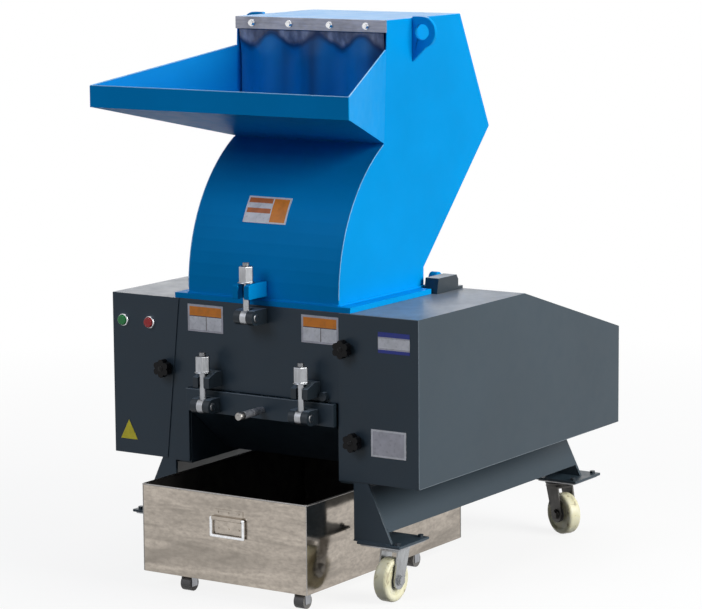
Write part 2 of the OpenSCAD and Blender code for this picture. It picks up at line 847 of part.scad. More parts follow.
module rotor_body() {
    color("#8d9196") from_front() {
        difference() {
            translate([-rotor_half_l, rotor_y, rotor_z]) rotate([90, 0, 90]) linear_extrude(2 * rotor_half_l)
                difference() {
                    circle(r = rotor_core_r, $fn = 72);
                    for (i = [0 : knife_count - 1]) rotate(i * 360 / knife_count)
                        translate([knife_seat_r, -knife_t]) square([cut_r, cut_r / 2]);
                }
            x_rod(shaft_d, -rotor_half_l - overrun, rotor_half_l + overrun, rotor_y, rotor_z);
        }
        x_rod(shaft_d, shaft_left_x, shaft_right_x, rotor_y, rotor_z);
    }
}

module rotor_knives() {
    color("#c4c8cc") from_front() translate([-rotor_half_l, rotor_y, rotor_z]) rotate([90, 0, 90])
        linear_extrude(2 * rotor_half_l) for (i = [0 : knife_count - 1]) rotate(i * 360 / knife_count)
            polygon([
                [knife_seat_r, -knife_t], [cut_r - knife_t / 2, -knife_t], [cut_r - fit_gap, 0], [knife_seat_r, 0]
            ]);
}

module flywheel() {
    color("#6d7178") from_front() translate([flywheel_x - flywheel_w, rotor_y, rotor_z]) rotate([0, 90, 0])
        rotate_extrude($fn = 96) polygon([
            [shaft_d / 2, 0], [flywheel_hub_r, 0], [flywheel_hub_r, (flywheel_w - flywheel_web_t) / 2],
            [flywheel_r - flywheel_rim_t, (flywheel_w - flywheel_web_t) / 2], [flywheel_r - flywheel_rim_t, 0],
            [flywheel_r, 0], [flywheel_r, flywheel_w], [flywheel_r - flywheel_rim_t, flywheel_w],
            [flywheel_r - flywheel_rim_t, (flywheel_w + flywheel_web_t) / 2],
            [flywheel_hub_r, (flywheel_w + flywheel_web_t) / 2], [flywheel_hub_r, flywheel_w], [shaft_d / 2, flywheel_w]
        ]);
}

module driven_pulley() {
    color("#6d7178") from_front() translate([pulley_x, rotor_y, rotor_z]) pulley(big_pulley_r, shaft_d);
}

// The motor's shaft with its pulley.
module motor_pulley() {
    color("#6d7178") from_front() {
        translate([pulley_x, motor_y, motor_z]) pulley(small_pulley_r, motor_shaft_d);
        x_rod(motor_shaft_d, motor_left_x + motor_l / 2, pulley_x + pulley_w, motor_y, motor_z);
    }
}

// Hopper

// Side outline of the hopper, counterclockwise in Y and Z.
function hopper_outline() = concat(
    [[neck_y, neck_foot_z], [neck_rear_y, neck_foot_z], [neck_rear_y, neck_rear_z], [widest_y, widest_z],
     [top_rear_y, hopper_top_z], [mouth_y, hopper_top_z], [mouth_y, bar_bottom_z]],
    arc([neck_centre_y, neck_arc_z], neck_r, 180 - throat_angle, 180, arc_steps)
);

module hopper_shell() {
    inner_x = hopper_w / 2 - hopper_t;
    inner = inset(hopper_outline(), hopper_t);
    mouth_floor_z = throat_z + hopper_t;
    color("#0a93dd") from_front() difference() {
        yz_plate(hopper_outline(), -hopper_w / 2, hopper_w);
        yz_plate(inner, -inner_x, 2 * inner_x);
        span([-inner_x, inner_x], [neck_y + hopper_t, neck_rear_y - hopper_t],
             [neck_foot_z - overrun, neck_foot_z + 2 * hopper_t]);
        span([-inner_x, inner_x], [throat_y - hopper_t, mouth_y + 2 * hopper_t], [mouth_floor_z, bar_bottom_z]);
    }
}

// A plate of even thickness between four corners, creased from a to c and thickened by the vector n.
module quad_plate(a, b, c, d, n) {
    polyhedron(
        points = [a, b, c, d, a + n, b + n, c + n, d + n],
        faces = [[0, 1, 2], [0, 2, 3], [6, 5, 4], [7, 6, 4], [0, 4, 5, 1], [1, 5, 6, 2], [2, 6, 7, 3], [3, 7, 4, 0]]
    );
}

module feed_tray() {
    throat_x = hopper_w / 2;
    lip_x = lip_w / 2;
    floor_z = lip_top_z - lip_h;
    side_n = tray_t * [-1, 0, 0];
    color("#0a93dd") from_front() {
        quad_plate([-throat_x, throat_y, throat_z], [-lip_x, lip_front_y + tray_t, floor_z],
                   [lip_x, lip_front_y + tray_t, floor_z], [throat_x, throat_y, throat_z], tray_t * [0, 0, 1]);
        both_sides() quad_plate(
            [throat_x, throat_y, throat_z], [lip_x, lip_front_y + tray_t, floor_z],
            [lip_x, lip_front_y + tray_t, lip_top_z], [throat_x, kink_y, kink_z], side_n);
        span([-lip_x, lip_x], [lip_front_y, lip_front_y + tray_t], [floor_z, lip_top_z]);
    }
}

module hopper_flange() {
    opening_x = hopper_w / 2 - hopper_t;
    color("#0a93dd") from_front() {
        difference() {
            union() {
                span([-flange_w / 2, flange_w / 2], [flange_front_y, flange_front_y + flange_full_l],
                     [flange_z, flange_z + flange_t]);
                span([-flange_tail_w / 2, flange_tail_w / 2],
                     [flange_front_y + flange_full_l, flange_front_y + flange_full_l + flange_tail_l],
                     [flange_z, flange_z + flange_t]);
                both_sides() hinge_arm();
            }
            span([-opening_x, opening_x], [neck_y + hopper_t, neck_rear_y - hopper_t],
                 [flange_z - overrun, flange_z + flange_t + overrun]);
            x_rod(hinge_pin_d + 2 * running_gap, -bracket_x, bracket_x, hinge_y, hinge_z);
        }
        slotted_lug(top_bolt_x, top_pivot_z + top_reach, neck_y, top_lug_lead_l, top_lug_slope);
    }
}

// Right arm of the hopper's hinge, from the flange's tail to the knuckle round the pin.
module hinge_arm() {
    x1 = flange_tail_w / 2;
    x0 = x1 - hinge_arm_w;
    arm_y = flange_front_y + flange_full_l + flange_tail_l;
    span([x0, x1], [arm_y - flange_tail_l, hinge_y], [flange_z + hinge_z - neck_foot_z - hinge_knuckle_r / 2,
         flange_z + flange_t]);
    x_rod(2 * hinge_knuckle_r, x0, x1, hinge_y, hinge_z);
}

module lifting_eyes() {
    x0 = hopper_w / 2;
    centre_x = x0 + eye_reach;
    centre_z = hopper_top_z - eye_drop;
    color("#0a7fc4") from_front() both_sides() difference() {
        union() {
            y_rod(2 * eye_r, eye_plate_y, eye_plate_y + eye_plate_t, centre_x, centre_z);
            xz_plate([
                [x0, eye_foot_z],
                [centre_x + eye_r * cos(eye_foot_angle), centre_z - eye_r * sin(eye_foot_angle)],
                [centre_x, centre_z + eye_r],
                [x0, centre_z + eye_r]
            ], eye_plate_y, eye_plate_t);
        }
        y_rod(eye_hole_d, eye_plate_y - overrun, eye_plate_y + eye_plate_t + overrun, centre_x, centre_z);
        span([x0 - 2 * eye_r, x0], [eye_plate_y - overrun, eye_plate_y + eye_plate_t + overrun],
             [eye_foot_z, hopper_top_z + eye_r]);
    }
}

module curtain_clamp_bar() {
    color("#b9bcc0") from_front()
        span([-bar_half_w, bar_half_w], [bar_y, mouth_y], [bar_bottom_z, hopper_top_z]);
}

module clamp_bolts() {
    color("#d5d8da") from_front() for (s = clamp_bolt_share)
        translate([s * bar_half_w, bar_y, hopper_top_z - bar_h / 2]) rotate([90, 0, 0]) {
            cylinder(d = clamp_bolt_d, h = washer_t / 2);
            cylinder(d = clamp_bolt_d * clamp_head_share, h = clamp_bolt_h, $fn = 6);
        }
}

// Neck front at height z, moved outwards by t.
function neck_front_y(z, t) =
    let (a = asin((z - neck_arc_z) / (neck_r + t))) neck_centre_y - (neck_r + t) * cos(a);

module neck_plate() {
    steps = [for (i = [0 : neck_plate_steps])
        neck_plate_low_z + neck_plate_h * i / neck_plate_steps];
    outline = concat(
        [for (z = steps) [neck_front_y(z, fit_gap), z]],
        [for (i = [neck_plate_steps : -1 : 0]) [neck_front_y(steps[i], fit_gap + label_t), steps[i]]]
    );
    color("#e8e6e2") from_front() yz_plate(outline, neck_plate_x - neck_plate_w / 2, neck_plate_w);
}

// How far the curtain stands in front of its middle plane at a share across and a drop from the bar.
function fold_y(across, drop) =
    let (settle = min(1, drop / fold_settle), swell = settle * settle * (3 - 2 * settle))
    -fold_depth * swell * cos(360 * (fold_count * across - fold_phase));

module feed_curtain() {
    cols = curtain_cols;
    rows = curtain_rows;
    side = (cols + 1) * (rows + 1);
    function sheet(offset) = [for (r = [0 : rows], c = [0 : cols])
        let (drop = curtain_l * pow(r / rows, curtain_row_power), across = c / cols)
        [curtain_half_w * (2 * across - 1), curtain_mid_y + fold_y(across, drop) + offset, curtain_top_z - drop]];
    function at(r, c) = r * (cols + 1) + c;
    front = [for (r = [0 : rows - 1], c = [0 : cols - 1]) each [
        [at(r, c), at(r, c + 1), at(r + 1, c + 1)], [at(r, c), at(r + 1, c + 1), at(r + 1, c)]]];
    back = [for (f = front) [f[2] + side, f[1] + side, f[0] + side]];
    rim = concat(
        [for (c = [0 : cols - 1]) each [
            [at(0, c + 1), at(0, c), at(0, c) + side], [at(0, c + 1), at(0, c) + side, at(0, c + 1) + side],
            [at(rows, c), at(rows, c + 1), at(rows, c + 1) + side],
            [at(rows, c), at(rows, c + 1) + side, at(rows, c) + side]]],
        [for (r = [0 : rows - 1]) each [
            [at(r, 0), at(r + 1, 0), at(r + 1, 0) + side], [at(r, 0), at(r + 1, 0) + side, at(r, 0) + side],
            [at(r + 1, cols), at(r, cols), at(r, cols) + side],
            [at(r + 1, cols), at(r, cols) + side, at(r + 1, cols) + side]]]
    );
    color("#6f8fa8") from_front() polyhedron(
        points = concat(sheet(-curtain_t / 2), sheet(curtain_t / 2)),
        faces = concat(front, back, rim), convexity = 6);
}

// Swing bolts

// An eye bolt standing on its pivot pin, its washer seated at reach above the pin.
module swing_bolt(x, pivot_z, reach) {
    difference() {
        union() {
            x_rod(eye_d, x - eye_w / 2, x + eye_w / 2, bolt_y, pivot_z);
            z_rod(rod_d, pivot_z + eye_d / 4, pivot_z + reach + washer_t + nut_h + stub_l, x, bolt_y);
        }
        x_rod(latch_pin_d + 2 * running_gap, x - eye_w, x + eye_w, bolt_y, pivot_z);
    }
}

// A long hexagon nut with its washer, free to turn on its bolt.
module long_nut(x, pivot_z, reach) {
    z0 = pivot_z + reach;
    difference() {
        union() {
            z_rod(washer_d, z0 + fit_gap, z0 + washer_t, x, bolt_y);
            translate([x, bolt_y, z0 + washer_t]) cylinder(d = nut_af / cos(hex_angle), h = nut_h, $fn = 6);
        }
        z_rod(rod_d + 2 * running_gap, z0 - overrun, z0 + washer_t + nut_h + overrun, x, bolt_y);
    }
}

// A clevis that stands out from back_y, with its pin, round in front.
module clevis(x, pivot_z, back_y) {
    half = clevis_w / 2;
    difference() {
        union() {
            span([x - half, x + half], [bolt_y, back_y], [pivot_z - clevis_h / 2, pivot_z + clevis_h / 2]);
            x_rod(clevis_h, x - half, x + half, bolt_y, pivot_z);
        }
        span([x - ear_gap_w / 2, x + ear_gap_w / 2], [bolt_y - clevis_h, bolt_y + eye_d / 2 + 2 * washer_t],
             [pivot_z - clevis_h, pivot_z + clevis_h]);
        x_rod(latch_pin_d, x - half - overrun, x + half + overrun, bolt_y, pivot_z);
    }
    x_rod(latch_pin_d, x - half - washer_t, x + half + washer_t, bolt_y, pivot_z);
}

// A lug that a swing bolt swings into from the front, its top edge sloped so that the washer can leave.
module slotted_lug(x, lug_top_z, back_y, lead_l, slope) {
    lug_front_y = bolt_y - lead_l;
    difference() {
        yz_plate([
            [lug_front_y, lug_top_z - lug_h], [back_y, lug_top_z - lug_h], [back_y, lug_top_z],
            [lug_front_y + slope[0], lug_top_z], [lug_front_y, lug_top_z - slope[1]]
        ], x - lug_w / 2, lug_w);
        span([x - slot_w / 2, x + slot_w / 2], [lug_front_y - overrun, slot_end_y],
             [lug_top_z - lug_h - overrun, lug_top_z + overrun]);
    }
}

// The top clevis on the front plate and the two slotted lugs above the cradle.
module latch_brackets() {
    color("#33363d") from_front() {
        clevis(top_bolt_x, top_pivot_z, plate_y);
        for (x = [lower_left_x, lower_right_x])
            slotted_lug(x, lower_pivot_z + lower_reach, plate_y, lower_lug_lead_l, lower_lug_slope);
    }
}

module top_swing_bolt() { color("silver") from_front() swing_bolt(top_bolt_x, top_pivot_z, top_reach); }
module top_nut() { color("#c9ccd0") from_front() long_nut(top_bolt_x, top_pivot_z, top_reach); }
module left_swing_bolt() { color("silver") from_front() swing_bolt(lower_left_x, lower_pivot_z, lower_reach); }
module left_nut() { color("#c9ccd0") from_front() long_nut(lower_left_x, lower_pivot_z, lower_reach); }
module right_swing_bolt() { color("silver") from_front() swing_bolt(lower_right_x, lower_pivot_z, lower_reach); }
module right_nut() { color("#c9ccd0") from_front() long_nut(lower_right_x, lower_pivot_z, lower_reach); }

// Hinge brackets at the chamber's rear, for the hopper above and the cradle below, with their pins.
module rear_hinge_brackets() {
    bracket_top_z = hinge_z + hinge_knuckle_r * bracket_top_share;
    profile = [
        [bracket_front_y, top_z + fit_gap], [bracket_front_y + bracket_l, top_z + fit_gap],
        [bracket_front_y + bracket_l, top_z + bracket_base_h], [hinge_y + hinge_knuckle_r, top_z + bracket_base_h],
        [hinge_y + hinge_knuckle_r, hinge_z], [hinge_y + hinge_knuckle_r / 2, bracket_top_z],
        [bracket_front_y + bracket_base_h, bracket_top_z]
    ];
    pin_x0 = flange_tail_w / 2 - hinge_arm_w;
    color("#2c2f36") from_front() both_sides() {
        yz_plate(profile, bracket_x, bracket_w);
        x_rod(hinge_pin_d, pin_x0, bracket_x, hinge_y, hinge_z);
        cradle_bracket();
    }
}

// Right ear of the cradle's hinge, hung from the rear of the side wall, with its pin.
module cradle_bracket() {
    x1 = wall_x;
    x0 = x1 - cradle_bracket_t;
    span([x0, x1], [cradle_hinge_y - cradle_knuckle_r, wall_l],
         [cradle_hinge_z - cradle_knuckle_r, cross_bottom_z]);
    x_rod(cradle_pin_d, x0 - cradle_bracket_t - overrun, x0, cradle_hinge_y, cradle_hinge_z);
}

// Screen cradle

function cradle_outline() = [
    [0, cradle_top_z - cradle_flange_h], [cradle_front_low_y, cradle_bottom_z],
    [cradle_rear_low_y, cradle_bottom_z], [cradle_rear_y, cradle_top_z - cradle_flange_h],
    [cradle_rear_y, cradle_top_z], [0, cradle_top_z]
];

// The sloped front wall, carried on up to the back of the flange.
module cradle_front_wall(a, b) {
    n = cradle_t * edge_normal(a, b);
    foot_z = a[1] + n[1] + n[0] * (a[1] - b[1]) / (b[0] - a[0]);
    yz_plate([a, b, b + n, [a[0], foot_z]], -cradle_x + cradle_t, cradle_w - 2 * cradle_t);
}

// The round space for the screen, as a rod across the cradle.
module screen_space(r, half_l) {
    translate([-half_l, rotor_y, rotor_z]) rotate([0, 90, 0]) cylinder(r = r, h = 2 * half_l, $fn = 96);
}

// A sloped wall of the cradle between two points of its outline, thickened inwards.
module cradle_wall(a, b) {
    n = cradle_t * edge_normal(a, b);
    yz_plate([a, b, b + n, a + n], -cradle_x + cradle_t, cradle_w - 2 * cradle_t);
}

module cradle_frame() {
    o = cradle_outline();
    knuckle_x1 = cradle_x - cradle_t;
    knuckle_x0 = knuckle_x1 - cradle_bracket_t;
    color("#2f3239") from_front() difference() {
        union() {
            both_sides() yz_plate(o, cradle_x - cradle_t, cradle_t);
            cradle_front_wall(o[0], o[1]);
            cradle_wall(o[2], o[3]);
            span([-cradle_flange_x, cradle_flange_x], [-cradle_flange_t, 0],
                 [cradle_top_z - cradle_flange_h, cradle_top_z]);
            span([-cradle_x + cradle_t, cradle_x - cradle_t], [cradle_rear_y - cradle_t, cradle_rear_y],
                 [cradle_top_z - cradle_flange_h, cradle_top_z]);
            for (x = [-cradle_x / 3, cradle_x / 3]) yz_plate(o, x - cradle_rib_t / 2, cradle_rib_t);
            both_sides() cradle_knuckle(knuckle_x0, knuckle_x1);
        }
        screen_space(screen_r + screen_t, wall_x + overrun);
        both_sides() cradle_hinge_room();
        x_rod(cradle_pin_d + 2 * running_gap, -wall_x, wall_x, cradle_hinge_y, cradle_hinge_z);
        for (x = [-cradle_x / 3, cradle_x / 3]) cradle_rib_cut(x);
    }
}

// Room for the frame's cradle brackets at the cradle's rear corners.
module cradle_hinge_room() {
    span([cradle_x - cradle_t, wall_x + overrun],
         [cradle_hinge_y - cradle_knuckle_r - cradle_bracket_t, cradle_hinge_y + cradle_knuckle_r],
         [cradle_bottom_z - overrun, cradle_top_z + overrun]);
}

// A knuckle of the cradle's hinge with the web that joins it to the rear wall.
module cradle_knuckle(x0, x1) {
    span([x0, x1], [cradle_rear_y - cradle_t, cradle_hinge_y],
         [cradle_hinge_z - cradle_knuckle_r, cradle_hinge_z + cradle_knuckle_r]);
    x_rod(2 * cradle_knuckle_r, x0, x1, cradle_hinge_y, cradle_hinge_z);
}

// Leaves each rib as a rim under the screen, so that the granules fall between the walls.
module cradle_rib_cut(x) {
    span([x - cradle_rib_t, x + cradle_rib_t], [cradle_front_low_y, cradle_rear_low_y],
         [cradle_bottom_z - overrun, rotor_z - screen_r - screen_t - 3 * cradle_t]);
}

module screen() {
    outer_r = screen_r + screen_t - fit_gap;
    low_z = rotor_z - screen_r - screen_t - overrun;
    side_y = screen_r + screen_t + overrun;
    end_z = rotor_z - screen_r * sin(screen_end_angle) - ledge_h;
    color("#9ba0a5") from_front() difference() {
        screen_space(outer_r, screen_l / 2);
        screen_space(screen_r, screen_l / 2 + overrun);
        span([-screen_l, screen_l], [rotor_y - side_y, rotor_y + side_y], [end_z, rotor_z + side_y]);
        for (c = [1 : screen_hole_cols], r = [1 : screen_hole_rows])
            translate([screen_l * (c / (screen_hole_cols + 1) - 1 / 2), rotor_y, rotor_z])
                rotate([screen_hole_angle * ((r - 1 / 2) / screen_hole_rows - 1 / 2) - 90, 0, 0])
                    y_rod(screen_hole_d, screen_r - screen_t, screen_r + 2 * screen_t, 0, 0, $fn = 16);
    }
}

module cradle_clevises() {
    color("#33363d") from_front() for (x = [lower_left_x, lower_right_x])
        clevis(x, lower_pivot_z, -cradle_flange_t);
}

module cradle_handle() {
    end_y = -cradle_flange_t - bar_handle_l;
    color("silver") from_front() {
        y_rod(bar_handle_d, end_y, -cradle_flange_t, bar_handle_x, lower_pivot_z);
        y_rod(bar_handle_cap_d, end_y - bar_handle_cap_l, end_y, bar_handle_x, lower_pivot_z);
    }
}

// Collecting bin

module in_bin() { translate([bin_offset, 0, 0]) children(); }

module bin_body() {
    y0 = -bin_reach;
    y1 = bin_l - bin_reach;
    color("#a89a86") from_front() in_bin() difference() {
        union() {
            span([-bin_x, bin_x], [y0, y1], [bin_floor_z, bin_top_z]);
            span([-bin_x - hem_t, bin_x + hem_t], [y0 - hem_t, y1], [bin_top_z - hem_h, bin_top_z]);
        }
        span([-bin_x + bin_t, bin_x - bin_t], [y0 + bin_t, y1 - bin_t], [bin_floor_z + bin_t, bin_top_z + overrun]);
    }
}

module bin_wheel_brackets() {
    half = roller_w / 2 + fit_gap;
    plate_w = roller_w + 4 * roller_cheek_t;
    cheek_w = roller_d * roller_cheek_share;
    cheek_top_z = bin_floor_z - roller_cheek_t / 2;
    color("#8d9094") from_front() for (x = [roller_left_x, roller_right_x], y = [roller_front_y, roller_rear_y])
        translate([x, y, 0]) {
            span([-plate_w / 2, plate_w / 2], [-cheek_w / 2, cheek_w / 2], [cheek_top_z, bin_floor_z]);
            both_sides() span([half, half + roller_cheek_t], [-cheek_w / 2, cheek_w / 2],
                              [roller_d / 2 - roller_pin_d, cheek_top_z]);
            x_rod(roller_pin_d, -half - roller_cheek_t, half + roller_cheek_t, 0, roller_d / 2);
        }
}

module roller(x, y) {
    difference() {
        x_rod(roller_d, x - roller_w / 2, x + roller_w / 2, y, roller_d / 2);
        x_rod(roller_pin_d + 2 * running_gap, x - roller_w, x + roller_w, y, roller_d / 2);
    }
}
module roller_pair(y) { for (x = [roller_left_x, roller_right_x]) roller(x, y); }
module bin_front_wheels() { color("#74716b") from_front() roller_pair(roller_front_y); }
module bin_rear_wheels() { color("#74716b") from_front() roller_pair(roller_rear_y); }

// The riveted plate whose rolled edge holds the bin's handle.
module bin_handle_plate() {
    y1 = -bin_reach;
    half_w = bin_handle_w / 2 - handle_rod_d - fit_gap;
    tube_y = y1 - handle_plate_t - hinge_tube_d / 2;
    low_z = hinge_tube_z - handle_plate_h * handle_plate_low_share;
    color("#bcbfc2") from_front() {
        span([bin_handle_x - half_w, bin_handle_x + half_w], [y1 - handle_plate_t, y1],
             [low_z, low_z + handle_plate_h]);
        difference() {
            union() {
                x_rod(hinge_tube_d, bin_handle_x - half_w, bin_handle_x + half_w, tube_y, hinge_tube_z);
                span([bin_handle_x - half_w, bin_handle_x + half_w], [tube_y, y1],
                     [hinge_tube_z, hinge_tube_z + hinge_tube_d / 2]);
            }
            x_rod(handle_rod_d + 2 * running_gap, bin_handle_x - bin_handle_w, bin_handle_x + bin_handle_w,
                  tube_y, hinge_tube_z);
        }
        for (dx = rivet_across_shares, dz = rivet_up_shares)
            y_rod(rivet_d, y1 - handle_plate_t - rivet_d / 4, y1, bin_handle_x + dx * half_w,
                  hinge_tube_z + dz * handle_plate_h);
    }
}

module bin_handle() {
    half = (bin_handle_w - handle_rod_d) / 2;
    tube_y = -bin_reach - handle_plate_t - hinge_tube_d / 2;
    drop = bin_handle_h - handle_rod_d;
    color("#c2c5c8") from_front() translate([bin_handle_x, tube_y, hinge_tube_z]) {
        x_rod(handle_rod_d, -half, half, 0, 0);
        x_rod(handle_rod_d, -half, half, 0, -drop);
        for (x = [-half, half]) {
            z_rod(handle_rod_d, -drop, 0, x, 0);
            translate([x, 0, 0]) sphere(d = handle_rod_d);
            translate([x, 0, -drop]) sphere(d = handle_rod_d);
        }
    }
}

// Casters

// A swivel fork, its swivel axis on the Z axis, its wheel towards -Y.
module caster_fork() {
    axle_z = wheel_d / 2;
    outer_x = fork_inner_x + fork_leg_t;
    leg_y0 = -fork_leg_w / 2 - trail / 4;
    leg = [
        [-trail - fork_foot_w / 2, axle_z], [-trail + fork_foot_w / 2, axle_z],
        [leg_y0 + fork_leg_w, head_low_z], [leg_y0, head_low_z]
    ];
    z_rod(swivel_head_d, head_low_z, head_top_z, 0, 0);
    span([-outer_x, outer_x], [leg_y0, leg_y0 + fork_leg_w], [head_low_z - fork_leg_t, head_low_z]);
    for (s = [0, 1]) mirror([s, 0, 0]) {
        yz_plate(leg, fork_inner_x, fork_leg_t);
        x_rod(fork_foot_w, fork_inner_x, outer_x, -trail, axle_z);
        x_rod(2 * axle_d, outer_x, outer_x + fork_leg_t, -trail, axle_z);
    }
    x_rod(axle_d, -fork_inner_x, fork_inner_x, -trail, axle_z);
}

module caster_wheel() {
    r = wheel_d / 2;
    w = wheel_w / 2;
    hub_r = axle_d;
    translate([0, -trail, r]) rotate([0, 90, 0]) rotate_extrude($fn = 96) polygon(concat(
        [[axle_d / 2 + running_gap, -w], [hub_r, -w], [hub_r, hub_recess - w], [r - 2 * tread_round, hub_recess - w]],
        arc([r - tread_round, tread_round - w], tread_round, -120, 0, 6),
        arc([r - tread_round, w - tread_round], tread_round, 0, 120, 6),
        [[r - 2 * tread_round, w - hub_recess], [hub_r, w - hub_recess], [hub_r, w], [axle_d / 2 + running_gap, w]]
    ));
}

module caster_at(x, y, turn) { from_front() translate([x, y, 0]) rotate([0, 0, turn]) children(); }
module front_left() { caster_at(-front_left_caster_x, front_caster_y, front_left_swivel_angle) children(); }
module front_right() { caster_at(front_caster_x, front_caster_y, 0) children(); }
module rear_left() { caster_at(-rear_caster_x, rear_caster_y, rear_left_swivel_angle) children(); }
module rear_right() { caster_at(rear_caster_x, rear_caster_y, rear_right_swivel_angle) children(); }
module front_left_caster_fork() { color("silver") front_left() caster_fork(); }
module front_left_caster_wheel() { color("#c9c496") front_left() caster_wheel(); }
module front_right_caster_fork() { color("silver") front_right() caster_fork(); }
module front_right_caster_wheel() { color("#c9c496") front_right() caster_wheel(); }
module rear_left_caster_fork() { color("silver") rear_left() caster_fork(); }
module rear_left_caster_wheel() { color("#c9c496") rear_left() caster_wheel(); }
module rear_right_caster_fork() { color("silver") rear_right() caster_fork(); }
module rear_right_caster_wheel() { color("#c9c496") rear_right() caster_wheel(); }

// Controls

module button_bezels() {
    bore_d = cap_d + 2 * fit_gap;
    color("#c0c3c7") from_front() for (x = [start_x, stop_x]) difference() {
        union() {
            y_rod(bezel_d, -bezel_h, 0, x, button_z);
            y_rod(bezel_body_d, 0, bezel_body_l, x, button_z);
        }
        y_rod(bore_d, -bezel_h - overrun, bezel_body_l / 2, x, button_z);
    }
}

module button(x) {
    y_rod(cap_d, -bezel_h - cap_proud, bezel_body_l / 2 - button_travel - fit_gap, x, button_z);
}
module start_button() { color("#1fa45a") from_front() button(start_x); }
module stop_button() { color("#c3202b") from_front() button(stop_x); }

// A lobed hand knob standing off the front at y = 0, turning on a fixed stud.
module star_knob(x, z) {
    lobe_r = knob_d * knob_lobe_share;
    neck_h = knob_h * knob_neck_share;
    translate([x, -fit_gap, z]) rotate([90, 0, 0]) difference() {
        union() {
            cylinder(d = knob_hub_d, h = neck_h);
            translate([0, 0, neck_h]) linear_extrude(knob_h - neck_h) {
                circle(d = knob_d * knob_disc_share);
                for (i = [0 : knob_lobes - 1]) rotate((i + 1 / 2) * 360 / knob_lobes)
                    translate([knob_d / 2 - lobe_r, 0]) circle(r = lobe_r);
            }
        }
        translate([0, 0, -overrun]) cylinder(d = knob_stud_d + 2 * running_gap, h = knob_stud_l + 2 * overrun);
    }
}
module left_knob() { color("#1d1e21") from_front() star_knob(left_knob_x, left_knob_z); }
module right_upper_knob() { color("#1d1e21") from_front() star_knob(right_upper_knob_x, right_upper_knob_z); }
module right_lower_knob() { color("#1d1e21") from_front() star_knob(right_lower_knob_x, right_lower_knob_z); }

// Studs of the knobs, heads of the frame's bolts and nuts of the caster plates.
module frame_fasteners() {
    small_head_d = 20;
    small_head_h = 12;
    small_head_inset = 33;
    small_head_rise = 14;
    small_head_x = wall_x - small_head_inset;
    small_head_z = cradle_top_z + small_head_rise;
    caster_bolt_d = 14;
    caster_bolt_h = 6;
    caster_bolt_inset = 14;
    color("#44474d") from_front() {
        for (k = [[left_knob_x, left_knob_z], [right_upper_knob_x, right_upper_knob_z],
                  [right_lower_knob_x, right_lower_knob_z]])
            y_rod(knob_stud_d, -knob_stud_l, 0, k[0], k[1]);
        y_rod(small_head_d, plate_y - small_head_h, plate_y, small_head_x, small_head_z);
        both_sides() for (y0 = [front_foot_y, rear_foot_y], dx = [0, 1], dy = [0, 1])
            if (dx == 1 || dy == 1)
                translate([foot_inner_x + caster_bolt_inset + dx * (foot_plate_w - 2 * caster_bolt_inset),
                           y0 + caster_bolt_inset + dy * (foot_plate_l - 2 * caster_bolt_inset), leg_bottom_z])
                    cylinder(d = caster_bolt_d, h = caster_bolt_h, $fn = 6);
    }
}

// Mounting panel, contactor and overload relay on the outer wall of the flywheel box.
module control_gear() {
    panel_t = 3;
    panel_l = 240;
    panel_h = 230;
    panel_rise = 59;
    panel_rear_gap = 27;
    gear_w = 56;
    gear_pitch = 80;
    gear_inset = 50;
    contactor_d = 62;
    contactor_h = 90;
    contactor_rise = 100;
    relay_d = 50;
    relay_h = 70;
    relay_rise = 20;
    panel_y = left_box_l - panel_rear_gap - panel_l;
    panel_z = box_bottom_z + panel_rise;
    gear_x = sheet_t + panel_t - body_x;
    color("#d8dadc") from_front() {
        span([gear_x - panel_t, gear_x], [panel_y, panel_y + panel_l], [panel_z, panel_z + panel_h]);
        for (i = [0, 1], y = panel_y + gear_inset + i * gear_pitch) {
            span([gear_x, gear_x + contactor_d], [y, y + gear_w],
                 [panel_z + contactor_rise, panel_z + contactor_rise + contactor_h]);
            span([gear_x, gear_x + relay_d], [y, y + gear_w], [panel_z + relay_rise, panel_z + relay_rise + relay_h]);
        }
    }
}

// Blank plates where the machine carries its stickers

// A plate centred at x and z, lying against the surface at y.
module blank_plate(x, z, w, h, y) {
    span([x - w / 2, x + w / 2], [y - label_t, y], [z - h / 2, z + h / 2]);
}

module blank_plates() {
    triangle_x = triangle_inset - body_x;
    triangle_z = box_bottom_z + triangle_rise;
    color("#e8e6e2") from_front() {
        blank_plate(left_label_x, label_z, label_w, label_h, plate_y);
        blank_plate(right_label_x, label_z, label_w, label_h, plate_y);
        blank_plate(body_x - id_plate_inset, top_z - id_plate_drop, id_plate_w, id_plate_h, 0);
        blank_plate(body_x - data_plate_inset, box_bottom_z + data_plate_rise, data_plate_w, data_plate_h, 0);
        xz_plate([
            [triangle_x - triangle_w / 2, triangle_z], [triangle_x + triangle_w / 2, triangle_z],
            [triangle_x, triangle_z + triangle_h]
        ], -label_t, label_t);
    }
}

frame_front_plate();
frame_base();
caster_plates();
chamber_side_walls();
chamber_cross_walls();
bed_knives();
bearing_housings();
flywheel_box();
belt_guard();
motor_housing();
motor_rails();
drive_belts();
blank_plates();
latch_brackets();
rear_hinge_brackets();
button_bezels();
frame_fasteners();
control_gear();
hopper_shell();
feed_tray();
hopper_flange();
lifting_eyes();
curtain_clamp_bar();
clamp_bolts();
neck_plate();
feed_curtain();
top_swing_bolt();
top_nut();
cradle_frame();
screen();
cradle_clevises();
cradle_handle();
left_swing_bolt();
left_nut();
right_swing_bolt();
right_nut();
rotor_body();
rotor_knives();
flywheel();
driven_pulley();
motor_pulley();
bin_body();
bin_wheel_brackets();
bin_handle_plate();
bin_handle();
bin_front_wheels();
bin_rear_wheels();
front_left_caster_fork();
front_left_caster_wheel();
front_right_caster_fork();
front_right_caster_wheel();
rear_left_caster_fork();
rear_left_caster_wheel();
rear_right_caster_fork();
rear_right_caster_wheel();
start_button();
stop_button();
left_knob();
right_upper_knob();
right_lower_knob();
